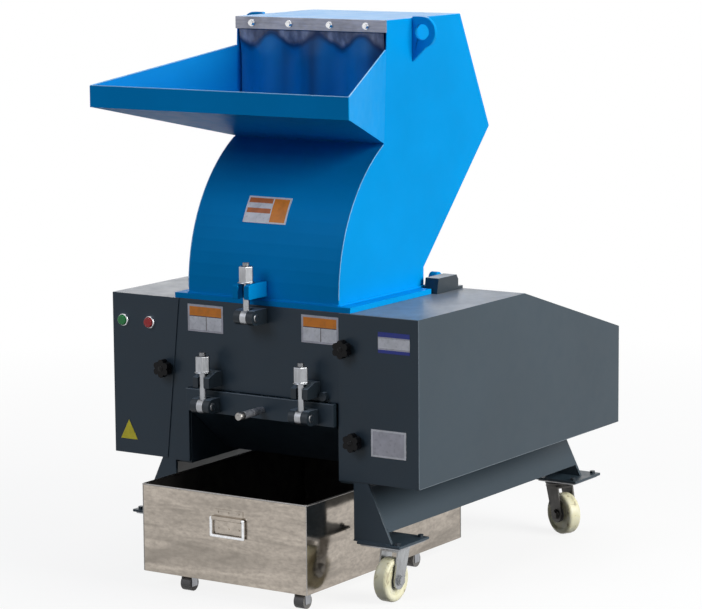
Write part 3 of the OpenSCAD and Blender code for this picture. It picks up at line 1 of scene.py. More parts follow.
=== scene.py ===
"""Looks of the plastic granulator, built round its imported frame.

Places are written in millimetres with Y counted from the front plane of the side boxes, as in the
part's source, and at() turns them into metres in the row frame.
"""
import json
import math

import bmesh
import bpy
from mathutils import Matrix, Vector, noise


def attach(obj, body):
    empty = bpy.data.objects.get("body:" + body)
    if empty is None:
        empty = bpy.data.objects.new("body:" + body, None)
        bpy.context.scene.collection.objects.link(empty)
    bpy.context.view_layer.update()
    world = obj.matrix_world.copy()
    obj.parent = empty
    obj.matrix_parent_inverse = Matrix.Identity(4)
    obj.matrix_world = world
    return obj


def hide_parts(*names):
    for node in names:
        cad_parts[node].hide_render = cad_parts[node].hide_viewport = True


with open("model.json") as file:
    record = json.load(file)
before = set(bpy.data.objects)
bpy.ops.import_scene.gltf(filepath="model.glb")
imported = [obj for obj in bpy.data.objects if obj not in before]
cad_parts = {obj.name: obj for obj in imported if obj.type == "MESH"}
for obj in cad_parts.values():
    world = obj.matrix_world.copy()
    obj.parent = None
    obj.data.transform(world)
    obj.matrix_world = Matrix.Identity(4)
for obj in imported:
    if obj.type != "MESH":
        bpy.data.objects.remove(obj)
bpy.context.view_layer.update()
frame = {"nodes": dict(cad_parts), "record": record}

MM = 0.001
MID_Y = 376.5


def at(x, y, z):
    return Vector((x, y - MID_Y, z)) * MM


# Materials

def linear(red, green, blue):
    """A colour given as 0 to 255 display values, as Blender's linear values."""
    out = []
    for value in (red, green, blue):
        s = value / 255
        out.append(s / 12.92 if s <= 0.04045 else ((s + 0.055) / 1.055) ** 2.4)
    return (*out, 1.0)


# The Mix node's sockets for colours
MIX_A = 6
MIX_B = 7
MIX_COLOR = 2


class Look:
    """A material with its Principled shader and short calls for the nodes that feed it."""

    def __init__(self, name, color, roughness=0.5, metallic=0.0, **sockets):
        self.material = bpy.data.materials.new(name)
        self.material.use_nodes = True
        self.tree = self.material.node_tree
        self.shader = self.tree.nodes["Principled BSDF"]
        self.set("Base Color", color)
        self.set("Roughness", roughness)
        self.set("Metallic", metallic)
        for key, value in sockets.items():
            self.set(key.replace("_", " "), value)
        places = self.tree.nodes.new("ShaderNodeTexCoord").outputs
        self.coords = places["Object"]
        self.normals = places["Normal"]
        self.last_normal = None

    def set(self, key, value):
        self.shader.inputs[key].default_value = value

    def node(self, kind, inputs=None, **settings):
        made = self.tree.nodes.new(kind)
        for key, value in settings.items():
            setattr(made, key, value)
        for key, value in (inputs or {}).items():
            if isinstance(value, bpy.types.NodeSocket):
                self.tree.links.new(value, made.inputs[key])
            else:
                made.inputs[key].default_value = value
        return made

    def link(self, socket, key):
        self.tree.links.new(socket, self.shader.inputs[key])

    def noise(self, scale, detail=3.0, stretch=(1, 1, 1), distortion=0.0):
        spot = self.node("ShaderNodeMapping", {"Vector": self.coords, "Scale": stretch})
        made = self.node("ShaderNodeTexNoise", {
            "Vector": spot.outputs["Vector"], "Scale": scale, "Detail": detail, "Distortion": distortion})
        return made.outputs["Fac"]

    def ramp(self, value, *stops):
        made = self.node("ShaderNodeValToRGB", {"Fac": value})
        ramp = made.color_ramp
        while len(ramp.elements) < len(stops):
            ramp.elements.new(0.5)
        for element, (place, color) in zip(ramp.elements, stops):
            element.position = place
            element.color = color if len(color) == 4 else (*color, 1)
        return made.outputs["Color"]

    def math(self, operation, a, b=0.0, c=0.0):
        return self.node("ShaderNodeMath", {0: a, 1: b, 2: c}, operation=operation).outputs[0]

    def mix(self, factor, a, b):
        made = self.tree.nodes.new("ShaderNodeMix")
        made.data_type = "RGBA"
        for socket, value in ((made.inputs[0], factor), (made.inputs[MIX_A], a), (made.inputs[MIX_B], b)):
            if isinstance(value, bpy.types.NodeSocket):
                self.tree.links.new(value, socket)
            else:
                socket.default_value = value
        return made.outputs[MIX_COLOR]

    def bump(self, height, strength, distance=0.001):
        inputs = {"Height": height, "Strength": strength, "Distance": distance}
        if self.last_normal is not None:
            inputs["Normal"] = self.last_normal
        self.last_normal = self.node("ShaderNodeBump", inputs).outputs["Normal"]
        self.link(self.last_normal, "Normal")

    def speckle(self, scale, low, high):
        """Roughness that wanders between low and high."""
        wander = self.node("ShaderNodeMapRange", {
            "Value": self.noise(scale), "From Min": 0.3, "From Max": 0.7, "To Min": low, "To Max": high})
        self.link(wander.outputs["Result"], "Roughness")

    def axes(self):
        """The object's coordinates as three values."""
        return self.node("ShaderNodeSeparateXYZ", {"Vector": self.coords}).outputs


def shade(color, factor):
    """The colour made darker or lighter by a factor."""
    return (color[0] * factor, color[1] * factor, color[2] * factor, 1.0)


# The span over which the painted sheen on flat tops wanders about its mean share
SHEEN_WANDER = 0.3


def enamel(name, color, gloss=0.3, specular=0.2, peel=0.05, painted_tone=0.0, sheen_z=0.0, sheen_color=None):
    """Sprayed paint: faint clouding, orange peel, sheets never quite flat.

    The last three arguments paint a pale sheen on flat tops: its share, the height in metres above which tops
    take it, and its colour. It stands for light glancing off those tops.
    """
    look = Look(name, color, gloss, Specular_IOR_Level=specular)
    base = look.ramp(look.noise(4.0, 4.0), (0.3, shade(color, 0.93)), (0.7, shade(color, 1.06)))
    # Painted sheen: flat tops above the given height are made paler, as light glancing off them would make
    # them.
    if painted_tone:
        up = look.node("ShaderNodeSeparateXYZ", {"Vector": look.normals}).outputs["Z"]
        flat = look.math("GREATER_THAN", up, 0.9)
        high = look.math("GREATER_THAN", look.axes()["Z"], sheen_z)
        sheen = look.math("MULTIPLY_ADD", look.noise(18.0, 5.0), SHEEN_WANDER, painted_tone - SHEEN_WANDER / 2)
        sheen = look.math("MULTIPLY", look.math("MULTIPLY", flat, high), sheen)
        base = look.mix(sheen, base, sheen_color)
    look.link(base, "Base Color")
    look.speckle(35.0, gloss - 0.04, gloss + 0.06)
    look.bump(look.noise(5.0, 1.0), 0.25, 0.004)
    look.bump(look.noise(420.0, 1.0), peel, 0.0004)
    return look.material


def metal(name, color, roughness=0.3, scratch=(1, 1, 1), depth=0.12, spots=0.0):
    """Bare or plated metal with a drawn direction: scratches run along the axis of the smallest scale."""
    look = Look(name, color, roughness, 1.0)
    lines = look.noise(260.0, 3.0, scratch)
    base = look.ramp(lines, (0.25, shade(color, 0.8)), (0.75, shade(color, 1.12)))
    if spots:
        stain = look.ramp(look.noise(26.0, 6.0), (0.42, (0, 0, 0)), (0.7, (1, 1, 1)))
        base = look.mix(look.math("MULTIPLY", stain, spots), base, shade(color, 0.42))
    look.link(base, "Base Color")
    look.speckle(60.0, roughness - 0.07, roughness + 0.1)
    look.bump(lines, depth, 0.0006)
    return look.material


def moulded(name, color, roughness=0.45, grain=0.12, specular=0.45):
    """Plastic, rubber or print with a fine grain."""
    look = Look(name, color, roughness, Specular_IOR_Level=specular)
    cloud = look.ramp(look.noise(60.0, 4.0), (0.3, shade(color, 0.85)), (0.7, shade(color, 1.1)))
    look.link(cloud, "Base Color")
    look.speckle(120.0, roughness - 0.06, roughness + 0.08)
    look.bump(look.noise(1500.0, 2.0), grain, 0.0003)
    return look.material


BLUE = (0.0, 0.325, 0.8, 1)
DARK = (0.04, 0.062, 0.083, 1)
# The pale colours given last are painted sheen on flat tops: the hopper's flange, the side boxes and the
# latch lugs.
blue = enamel("blue_enamel", BLUE, 0.42, 0.04, 0.03, 0.45, 1.24, (0.6, 0.74, 0.86, 1))
anthracite = enamel("anthracite_enamel", DARK, 0.33, 0.22, 0.04, 0.32, 0.63, (0.5, 0.52, 0.58, 1))
bracket_black = enamel("bracket_enamel", (0.026, 0.038, 0.05, 1), 0.36, 0.3, 0.05, 0.5, 0.3,
                       (0.3, 0.37, 0.44, 1))
motor_paint = enamel("motor_enamel", (0.045, 0.1, 0.15, 1), 0.4, 0.35, 0.15)
zinc = metal("zinc_plate", (0.36, 0.37, 0.39, 1), 0.32, (1, 1, 0.15), 0.08, 0.25)
nut_steel = metal("satin_steel", (0.32, 0.31, 0.3, 1), 0.3, (1, 1, 0.08), 0.1)
knife_steel = metal("ground_steel", (0.62, 0.63, 0.65, 1), 0.25, (0.05, 1, 1), 0.12)
shaft_steel = metal("turned_steel", (0.5, 0.51, 0.52, 1), 0.33, (1, 0.2, 0.2), 0.12, 0.2)
iron = metal("cast_iron", (0.26, 0.27, 0.28, 1), 0.5, (1, 1, 1), 0.35, 0.3)
fork_steel = metal("fork_zinc", (0.4, 0.41, 0.42, 1), 0.3, (1, 1, 0.2), 0.1, 0.3)
# The rear forks are the same zinc as the front ones, darkened as painted shade under the machine; the thread
# rings take this darkened zinc too.
darkened_zinc = metal("darkened_fork_zinc", (0.07, 0.068, 0.065, 1), 0.42, (1, 1, 0.2), 0.15, 0.4)
handle_steel = moulded("handle_bar_steel", (0.3, 0.31, 0.34, 1), 0.26, 0.08, 1.0)
# Paler paints for thin tubes along edges: painted highlights on rounded edges.
blue_edge_highlight = enamel("painted_blue_edge_highlight", (0.2, 0.52, 0.85, 1), 0.3, 0.5, 0.05)
dark_edge_highlight = enamel("painted_dark_edge_highlight", (0.13, 0.17, 0.21, 1), 0.3, 0.5, 0.05)
chrome = metal("bright_chrome", (0.82, 0.83, 0.85, 1), 0.12, (1, 1, 1), 0.02)
bar_steel = metal("clamp_bar_steel", (0.26, 0.27, 0.32, 1), 0.36, (0.12, 1, 1), 0.2, 0.5)
rubber_black = moulded("belt_rubber", (0.015, 0.015, 0.016, 1), 0.75, 0.4)
knob_black = moulded("knob_plastic", (0.004, 0.004, 0.005, 1), 0.25, 0.06, 0.14)
roller_grey = moulded("roller_plastic", (0.16, 0.155, 0.15, 1), 0.5)
gear_grey = moulded("switchgear_plastic", (0.5, 0.51, 0.52, 1), 0.45)
green = moulded("green_plastic", linear(20, 150, 70), 0.25, 0.02)
red = moulded("red_plastic", linear(205, 25, 35), 0.25, 0.02)
plate_white = moulded("plate_white", linear(246, 245, 248), 0.3, 0.03, 0.7)
plate_rim = moulded("plate_rim", linear(206, 204, 212), 0.3, 0.03, 0.7)
plate_orange = moulded("plate_orange", linear(255, 150, 42), 0.35, 0.03)
plate_brown = moulded("plate_brown", linear(214, 120, 62), 0.35, 0.03)
plate_navy = moulded("plate_navy", linear(28, 50, 150), 0.35, 0.03)
plate_yellow = moulded("plate_yellow", linear(255, 236, 60), 0.35, 0.03)
plate_line = moulded("plate_line", linear(70, 56, 52), 0.4, 0.03)


def nylon_look():
    """Cream wheels, browned by dust and wear in blotches."""
    cream = linear(248, 243, 206)
    look = Look("wheel_nylon", cream, 0.36, Specular_IOR_Level=0.5)
    blotch = look.noise(38.0, 6.0, (1, 1, 1), 1.2)
    base = look.ramp(blotch, (0.25, linear(140, 122, 84)), (0.42, cream), (0.75, linear(252, 250, 228)))
    look.link(base, "Base Color")
    look.speckle(90.0, 0.28, 0.5)
    look.bump(look.noise(420.0, 3.0), 0.15, 0.0005)
    return look.material


def stainless_look():
    """Thin stainless sheet: warm, streaked along its length and spotted; the soft dents from handling are in
    the bin's mesh.
    """
    warm = (0.45, 0.4, 0.345, 1)
    look = Look("bin_stainless", warm, 0.3, 1.0)
    streak = look.noise(9.0, 8.0, (0.35, 0.35, 3.0), 1.4)
    base = look.ramp(streak, (0.3, shade(warm, 0.66)), (0.47, shade(warm, 0.95)), (0.7, shade(warm, 1.2)))
    grain = look.ramp(look.noise(160.0, 5.0, (0.5, 0.5, 1)), (0.35, (0, 0, 0)), (0.75, (1, 1, 1)))
    base = look.mix(look.math("MULTIPLY", grain, 0.55), base, shade(warm, 0.5))
    look.link(base, "Base Color")
    look.speckle(22.0, 0.06, 0.15)
    look.bump(look.noise(420.0, 3.0, (0.08, 0.08, 1.0)), 0.05, 0.0004)
    return look.material


def shaded_inside_look():
    """The bin's inside, drawn near-black with faint random tone: painted shade, as the inside lies under the
    machine.
    """
    look = Look("bin_inside_shade", (0.022, 0.02, 0.019, 1), 0.55, 0.3)
    painted_tone = look.ramp(look.noise(30.0, 6.0), (0.3, (0.010, 0.009, 0.009)), (0.8, (0.04, 0.036, 0.033)))
    look.link(painted_tone, "Base Color")
    look.bump(look.noise(300.0, 4.0), 0.3, 0.0006)
    return look.material


# The scallops of painted reflection under the clamp bar: X of the first low point, pitch, half height and
# mean drop
SCALLOP_LOW_X = -166.0
SCALLOP_PITCH = 122.5
SCALLOP_HALF_H = 14.5
SCALLOP_DROP = 20.0
BAR_LOW_Z = 1243.0


def curtain_look():
    """Soft sheet, deep blue: a painted grey reflection in scallops under the bar with a painted dark rim of
    shade along its lower edge, and painted upright streaks of fold shade and light below.
    """
    deep = linear(0, 106, 168)
    look = Look("curtain_sheet", deep, 0.42, Specular_IOR_Level=0.2)
    x, y, z = look.axes()
    turn = look.math("MULTIPLY_ADD", x, 2 * math.pi / (SCALLOP_PITCH * MM),
                     -2 * math.pi * SCALLOP_LOW_X / SCALLOP_PITCH)
    wave = look.math("COSINE", turn)
    edge = look.math("MULTIPLY_ADD", wave, -SCALLOP_HALF_H * MM, (BAR_LOW_Z - SCALLOP_DROP) * MM)
    wander = look.math("MULTIPLY_ADD", look.noise(22.0, 3.0), 0.02, -0.01)
    above = look.math("SUBTRACT", z, look.math("ADD", edge, wander))
    band = look.node("ShaderNodeMapRange", {
        "Value": above, "From Min": -0.006, "From Max": 0.004}).outputs["Result"]
    # Painted shade: a dark rim along the scallops' lower edge.
    painted_rim_shade = look.node("ShaderNodeMapRange", {
        "Value": look.math("ABSOLUTE", look.math("ADD", above, 0.004)), "From Min": 0.0, "From Max": 0.012,
        "To Min": 0.75, "To Max": 0.0}).outputs["Result"]
    # Painted reflection: grey clouding in the scallops under the bar.
    cloud = look.noise(30.0, 5.0, (1, 1, 0.5))
    painted_reflection = look.ramp(cloud, (0.34, linear(52, 62, 84)), (0.5, linear(116, 120, 138)),
                      (0.66, linear(172, 174, 188)))
    # Painted shade and light of the folds: dark and light upright streaks.
    streak = look.noise(7.5, 2.0, (1, 0.2, 0.12))
    body = look.ramp(streak, (0.34, linear(0, 42, 84)), (0.47, deep), (0.7, linear(0, 124, 192)))
    color = look.mix(painted_rim_shade, look.mix(band, body, painted_reflection), linear(6, 26, 66))
    look.link(color, "Base Color")
    look.speckle(20.0, 0.34, 0.5)
    look.bump(look.noise(60.0, 3.0, (1, 1, 0.3)), 0.2, 0.002)
    return look.material


nylon = nylon_look()
stainless = stainless_look()
bin_inside_shade = shaded_inside_look()
curtain_skin = curtain_look()

LOOKS = {
    "anthracite_paint": anthracite, "blue_paint": blue, "dark_bracket": bracket_black,
    "motor_paint": motor_paint, "zinc_steel": zinc, "knife_steel": knife_steel, "stainless": stainless,
    "clamp_steel": bar_steel, "shaft_steel": shaft_steel, "pulley_iron": iron, "bright_chrome": chrome,
    "belt_rubber": rubber_black, "plate_white": plate_white, "curtain_pvc": curtain_skin,
    "wheel_nylon": nylon, "roller_plastic": roller_grey, "knob_black": knob_black, "button_green": green,
    "button_red": red, "gear_grey": gear_grey,
}
slots = {s["node"]: s["material_slot"] for s in frame["record"]["subparts"]}

# The CAD's own solids: their materials and softened edges

# Widths in millimetres
BEVELS = {
    "hopper_shell": 1.6, "feed_tray": 1.1, "hopper_flange": 1.5, "belt_guard": 0.9, "flywheel_box": 0.9,
    "frame_front_plate": 1.4, "frame_base": 1.4, "latch_brackets": 1.4, "cradle_clevises": 1.4,
    "cradle_frame": 1.4, "lifting_eyes": 2.0, "rear_hinge_brackets": 2.0, "curtain_clamp_bar": 0.8,
    "left_knob": 1.6, "right_upper_knob": 1.6, "right_lower_knob": 1.6, "top_nut": 1.3, "left_nut": 1.3,
    "right_nut": 1.3, "motor_housing": 1.5,
}
OTHER_BEVEL = 0.6
NO_BEVEL = {"screen", "drive_belts"}
BEVEL_ANGLE = math.radians(35)
WELD_REACH = 2e-6


def soften(obj, width):
    """Joins the mesh's split corners, rounds its sharp edges and smooths what is round."""
    weld = obj.modifiers.new("join", "WELD")
    weld.merge_threshold = WELD_REACH
    bevel = obj.modifiers.new("edges", "BEVEL")
    bevel.width = width * MM
    bevel.segments = 2
    bevel.limit_method = "ANGLE"
    bevel.angle_limit = BEVEL_ANGLE
    bevel.use_clamp_overlap = True
    bevel.harden_normals = False
    normals = obj.modifiers.new("normals", "WEIGHTED_NORMAL")
    normals.keep_sharp = True


# The rear forks take the zinc darkened as painted shade.
OWN_LOOKS = {
    "front_right_caster_fork": fork_steel, "front_left_caster_fork": fork_steel,
    "rear_right_caster_fork": darkened_zinc, "rear_left_caster_fork": darkened_zinc,
    "bin_handle_plate": stainless,
}

for name, obj in frame["nodes"].items():
    material = OWN_LOOKS.get(name, LOOKS[slots[name]])
    obj.data.materials.clear()
    obj.data.materials.append(material)
    if name not in NO_BEVEL:
        soften(obj, BEVELS.get(name, OTHER_BEVEL))

# Mesh helpers


def new_piece(name, mesh_or_bm, body, materials, smooth_angle=30):
    """Makes an object from a mesh or bmesh, gives it its materials and lets it ride on its body."""
    if isinstance(mesh_or_bm, bmesh.types.BMesh):
        mesh = bpy.data.meshes.new(name)
        bmesh.ops.recalc_face_normals(mesh_or_bm, faces=mesh_or_bm.faces)
        mesh_or_bm.to_mesh(mesh)
        mesh_or_bm.free()
    else:
        mesh = mesh_or_bm
    obj = bpy.data.objects.new(name, mesh)
    bpy.context.scene.collection.objects.link(obj)
    for material in materials:
        mesh.materials.append(material)
    if smooth_angle:
        mesh.shade_smooth()
        mesh.set_sharp_from_angle(angle=math.radians(smooth_angle))
    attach(obj, body)
    return obj


def lathe(bm, profile, centre, axis, segments=48, index=0):
    """Turns (radius, height) pairs in millimetres about the axis through centre, closed at both ends."""
    turn = Vector((0, 0, 1)).rotation_difference(Vector(axis).normalized()).to_matrix()
    rings = []
    for radius, height in profile:
        ring = []
        count = 1 if radius == 0 else segments
        for i in range(count):
            a = 2 * math.pi * i / segments
            spot = Vector((radius * math.cos(a), radius * math.sin(a), height)) * MM
            ring.append(bm.verts.new(centre + turn @ spot))
        rings.append(ring)
    for low, high in zip(rings, rings[1:]):
        for i in range(segments):
            n = i + 1
            corners = [low[i % len(low)], low[n % len(low)], high[n % len(high)], high[i % len(high)]]
            unique = list(dict.fromkeys(corners))
            if len(unique) > 2:
                bm.faces.new(unique).material_index = index
    for ring in (rings[0], rings[-1]):
        if len(ring) > 2:
            bm.faces.new(ring).material_index = index


def tube(bm, points, radius, segments, closed=False, index=0, lump=0.0):
    """A round bar along points in metres, its radius in millimetres. lump varies it as a weld bead's."""
    count = len(points)
    rings = []
    side = None
    for i, p in enumerate(points):
        ahead = points[(i + 1) % count] if closed or i < count - 1 else p
        behind = points[i - 1] if closed or i > 0 else p
        along = (ahead - behind).normalized()
        if side is None:
            side = along.orthogonal().normalized()
        side = (side - along * side.dot(along)).normalized()
        up = along.cross(side)
        r = radius * MM * (1 + lump * (noise.noise(p * 260) + 0.6 * math.sin(i * 2.4)))
        ring = []
        for k in range(segments):
            a = 2 * math.pi * k / segments
            ring.append(bm.verts.new(p + r * (math.cos(a) * side + math.sin(a) * up)))
        rings.append(ring)
    pairs = list(zip(rings, rings[1:]))
    if closed:
        pairs.append((rings[-1], rings[0]))
    for low, high in pairs:
        for k in range(segments):
            n = (k + 1) % segments
            bm.faces.new((low[k], low[n], high[n], high[k])).material_index = index
    if not closed:
        for ring in (rings[0], rings[-1]):
            bm.faces.new(ring).material_index = index


def line(a, b, step):
    """Points from a to b, about step millimetres apart."""
    count = max(2, int((b - a).length / (step * MM)))
    return [a.lerp(b, i / count) for i in range(count + 1)]


def ring_points(centre, radius, u, v, count):
    """Points of a circle in the plane of u and v."""
    turns = [2 * math.pi * i / count for i in range(count)]
    return [centre + radius * MM * (math.cos(a) * u + math.sin(a) * v) for a in turns]


AX = Vector((1, 0, 0))
AY = Vector((0, 1, 0))
AZ = Vector((0, 0, 1))

# The curtain: a soft sheet clamped under the bar, its folds growing downwards

CURTAIN_HALF_W = 196.0
CURTAIN_TOP_Z = 1242.1
CURTAIN_L = 221.0
CURTAIN_Y = 210.0
CURTAIN_T = 2.4
FOLD_DEPTH = 8.6
FOLD_COUNT = 3
FOLD_PHASE = 0.6
FOLD_SETTLE = 60.0


def curtain_point(across, down):
    """A point of the curtain's middle plane at shares across and down."""
    drop = CURTAIN_L * down
    settle = min(1.0, drop / FOLD_SETTLE)
    swell = settle * settle * (3 - 2 * settle)
    turn = 2 * math.pi * (FOLD_COUNT * across - FOLD_PHASE)
    fold = -FOLD_DEPTH * swell * math.cos(turn)
    soft = noise.noise(Vector((across * 7, down * 2.4, 0.7)))
    return Vector((CURTAIN_HALF_W * (2 * across - 1) + 0.8 * swell * math.sin(turn),
                   CURTAIN_Y + fold + 1.1 * soft * swell, CURTAIN_TOP_Z - drop))


def make_curtain(cols=144, rows=48):
    bm = bmesh.new()
    sides = []
    for offset in (-CURTAIN_T / 2, CURTAIN_T / 2):
        grid = []
        for r in range(rows + 1):
            grid.append([bm.verts.new(at(*(curtain_point(c / cols, r / rows) + Vector((0, offset, 0)))))
                         for c in range(cols + 1)])
        sides.append(grid)
    for grid in sides:
        for r in range(rows):
            for c in range(cols):
                bm.faces.new((grid[r][c], grid[r][c + 1], grid[r + 1][c + 1], grid[r + 1][c]))
    front, back = sides
    loop = [(0, c) for c in range(cols)] + [(r, cols) for r in range(rows)]
    loop += [(rows, c) for c in range(cols, 0, -1)] + [(r, 0) for r in range(rows, 0, -1)]
    for (r0, c0), (r1, c1) in zip(loop, loop[1:] + loop[:1]):
        bm.faces.new((front[r0][c0], front[r1][c1], back[r1][c1], back[r0][c0]))
    obj = new_piece("curtain_sheet", bm, "curtain", [curtain_skin], 50)
    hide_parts("feed_curtain")


make_curtain()

# The bin: thin sheet with soft dents, a rolled rim and an inside drawn near-black as painted shade

BIN_X = (-239.0, 205.0)
BIN_Y = (-128.0, 518.0)
BIN_Z = (36.0, 238.0)
BIN_T = 1.5
BIN_RIM_R = 1.9
CORNER_BEAD_R = 1.0
OUTSIDE = 0
INSIDE = 1
RIM = 2


def dent(p, direction, depth):
    """Moves p by soft dents that fade out towards the wall's ends, its foot and the rim."""
    if abs(direction.y) > 0.5:
        edge = min(abs(p.x - BIN_X[0]), abs(p.x - BIN_X[1]))
    else:
        edge = min(abs(p.y - BIN_Y[0]), abs(p.y - BIN_Y[1]))
    rise = min(p.z - BIN_Z[0], BIN_Z[1] - p.z)
    fade = min(1.0, edge / 40) * min(1.0, max(0.0, rise) / 25)
    broad = noise.noise(Vector((p.x / 95, p.y / 95, p.z / 38)))
    small = noise.noise(Vector((p.x, p.y, p.z)) / 30)
    return p + direction * depth * (broad + 0.5 * small) * fade


def bin_wall(bm, a, b, outward, index, cols, rows=14, depth=0.55):
    """One upright wall between the floor corners a and b."""
    grid = []
    for r in range(rows + 1):
        row = []
        for c in range(cols + 1):
            p = a.lerp(b, c / cols)
            p.z = BIN_Z[0] + (BIN_Z[1] - BIN_Z[0]) * r / rows
            row.append(bm.verts.new(at(*dent(p, outward, depth))))
        grid.append(row)
    for r in range(rows):
        for c in range(cols):
            face = bm.faces.new((grid[r][c], grid[r][c + 1], grid[r + 1][c + 1], grid[r + 1][c]))
            face.material_index = index


def make_bin():
    bm = bmesh.new()
    # The inner faces take the near-black painted shade.
    for shrink, index in ((0.0, OUTSIDE), (BIN_T, INSIDE)):
        x0, x1 = BIN_X[0] + shrink, BIN_X[1] - shrink
        y0, y1 = BIN_Y[0] + shrink, BIN_Y[1] - shrink
        corners = [Vector((x0, y0, 0)), Vector((x1, y0, 0)), Vector((x1, y1, 0)), Vector((x0, y1, 0))]
        outs = [-AY, AX, AY, -AX]
        for i in range(4):
            cols = 40 if i % 2 == 0 else 56
            bin_wall(bm, corners[i], corners[(i + 1) % 4], outs[i], index, cols)
        floor = [bm.verts.new(at(c.x, c.y, BIN_Z[0] + shrink)) for c in corners]
        bm.faces.new(floor).material_index = index
    bmesh.ops.remove_doubles(bm, verts=bm.verts, dist=1e-6)
    path = []
    rim_z = BIN_Z[1] - BIN_RIM_R
    loop = [(BIN_X[0], BIN_Y[0]), (BIN_X[1], BIN_Y[0]), (BIN_X[1], BIN_Y[1]), (BIN_X[0], BIN_Y[1])]
    for i, (x, y) in enumerate(loop):
        nx, ny = loop[(i + 1) % 4]
        path += line(at(x, y, rim_z), at(nx, ny, rim_z), 12)[:-1]
    tube(bm, path, BIN_RIM_R, 10, closed=True, index=RIM)
    for i, (x, y) in enumerate(loop):
        sx = 1 if i in (1, 2) else -1
        sy = 1 if i in (2, 3) else -1
        low, high = (at(x + 0.25 * sx, y + 0.25 * sy, z) for z in (BIN_Z[0] + 1, BIN_Z[1] - 4))
        tube(bm, line(low, high, 5), CORNER_BEAD_R, 8, index=RIM, lump=0.15)
    mesh = bpy.data.meshes.new("bin_shell")
    bm.to_mesh(mesh)
    bm.free()
    obj = new_piece("bin_shell", mesh, "bin", [stainless, bin_inside_shade, nut_steel], 40)
    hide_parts("bin_body")


make_bin()

# Blank plates in the places of the stickers

LABEL_T = 0.8
WHITE, PALE_RIM, ORANGE, LINE, NAVY, YELLOW = range(6)
FRONT_PLATE_LOOKS = [plate_white, plate_rim, plate_orange, plate_line, plate_navy, plate_yellow]
BROWN = 3
NECK_PLATE_LOOKS = [plate_white, plate_rim, plate_orange, plate_brown]


def plate(bm, place, fields):
    """A plate made of fields (u0, u1, v0, v1, index).

    place(u, v, out) gives the point at the shares u and v of the plate: on the sheet when out is 0 and
    on the plate's face when it is 1.
    """
    for u0, u1, v0, v1, index in fields:
        corners = [(u0, v0), (u1, v0), (u1, v1), (u0, v1)]
        low = [bm.verts.new(place(u, v, 0.0)) for u, v in corners]
        high = [bm.verts.new(place(u, v, 1.0)) for u, v in corners]
        bm.faces.new(high).material_index = index
        bm.faces.new(low[::-1]).material_index = index
        for i in range(4):
            n = (i + 1) % 4
            bm.faces.new((low[i], low[n], high[n], high[i])).material_index = index


def cut_fields(us, vs, paint):
    """Fields of a grid cut at us and vs, coloured by paint(u, v) at each field's middle."""
    out = []
    for u0, u1 in zip(us, us[1:]):
        for v0, v1 in zip(vs, vs[1:]):
            out.append((u0, u1, v0, v1, paint((u0 + u1) / 2, (v0 + v1) / 2)))
    return out


def front_place(x, z, w, h, y):
    """The place function of an upright plate centred at x and z on a sheet at y."""
    def place(u, v, out):
        return at(x + w * (u - 0.5), y - LABEL_T * out, z + h * (v - 0.5))
    return place


# Shares at which the plates' fields are cut
BANDED_US = (0, 0.05, 0.515, 0.535, 0.95, 1)
BANDED_VS = (0, 0.07, 0.555, 0.585, 0.92, 1)
BARRED_VS = (0, 0.16, 0.24, 0.70, 0.77, 1)
RIMMED_US = (0, 0.05, 0.95, 1)
RIMMED_VS = (0, 0.07, 0.93, 1)
FRONT_PLATE_Y = 2.3
# X and Z of the yellow plate's corners
TRIANGLE = ((-398.0, 304.0), (-350.0, 304.0), (-374.0, 349.0))


def banded_paint(u, v):
    """An orange band over two white fields, parted by thin dark lines, inside a pale rim."""
    if not (BANDED_US[1] < u < BANDED_US[4] and BANDED_VS[1] < v < BANDED_VS[4]):
        return PALE_RIM
    if v > BANDED_VS[3]:
        return ORANGE
    if v > BANDED_VS[2] or BANDED_US[2] < u < BANDED_US[3]:
        return LINE
    return WHITE


def barred_paint(u, v):
    """Navy bars along the top and the foot of a white plate, each with a pale stripe inside it."""
    if v < BARRED_VS[1] or v > BARRED_VS[4]:
        return NAVY
    return WHITE if BARRED_VS[2] < v < BARRED_VS[3] else PALE_RIM


def rimmed_paint(u, v):
    """A pale field inside a white rim."""
    inside = RIMMED_US[1] < u < RIMMED_US[2] and RIMMED_VS[1] < v < RIMMED_VS[2]
    return PALE_RIM if inside else WHITE


def make_front_plates():
    bm = bmesh.new()
    for x in (-153.0, 158.0):
        place = front_place(x, 602, 98, 62, FRONT_PLATE_Y)
        plate(bm, place, cut_fields(BANDED_US, BANDED_VS, banded_paint))
    plate(bm, front_place(352, 588, 81, 46, 0.0), cut_fields((0, 1), BARRED_VS, barred_paint))
    plate(bm, front_place(337, 364, 90, 61, 0.0), cut_fields(RIMMED_US, RIMMED_VS, rimmed_paint))
    low = [bm.verts.new(at(x, 0, z)) for x, z in TRIANGLE]
    high = [bm.verts.new(at(x, -LABEL_T, z)) for x, z in TRIANGLE]
    bm.faces.new(high).material_index = YELLOW
    bm.faces.new(low[::-1]).material_index = YELLOW
    for i in range(3):
        n = (i + 1) % 3
        bm.faces.new((low[i], low[n], high[n], high[i])).material_index = YELLOW
    bmesh.ops.remove_doubles(bm, verts=bm.verts, dist=1e-6)
    obj = new_piece("front_plates", bm, "frame", FRONT_PLATE_LOOKS, 0)
    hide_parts("blank_plates")


# The neck's front: an arc round a line across the machine
NECK_CENTRE_Y = 389.0
NECK_ARC_Z = 670.0
NECK_R = 380.0
NECK_PLATE_X = -74.0
NECK_PLATE_W = 116.0
NECK_PLATE_Z = (823.0, 879.0)
NECK_PLATE_GAP = 0.3
NECK_US = (0, 0.035, 0.3, 0.585, 0.61, 0.8, 0.965, 1)
NECK_VS = (0, 0.06, 0.2, 0.38, 0.56, 0.76, 0.94, 1)


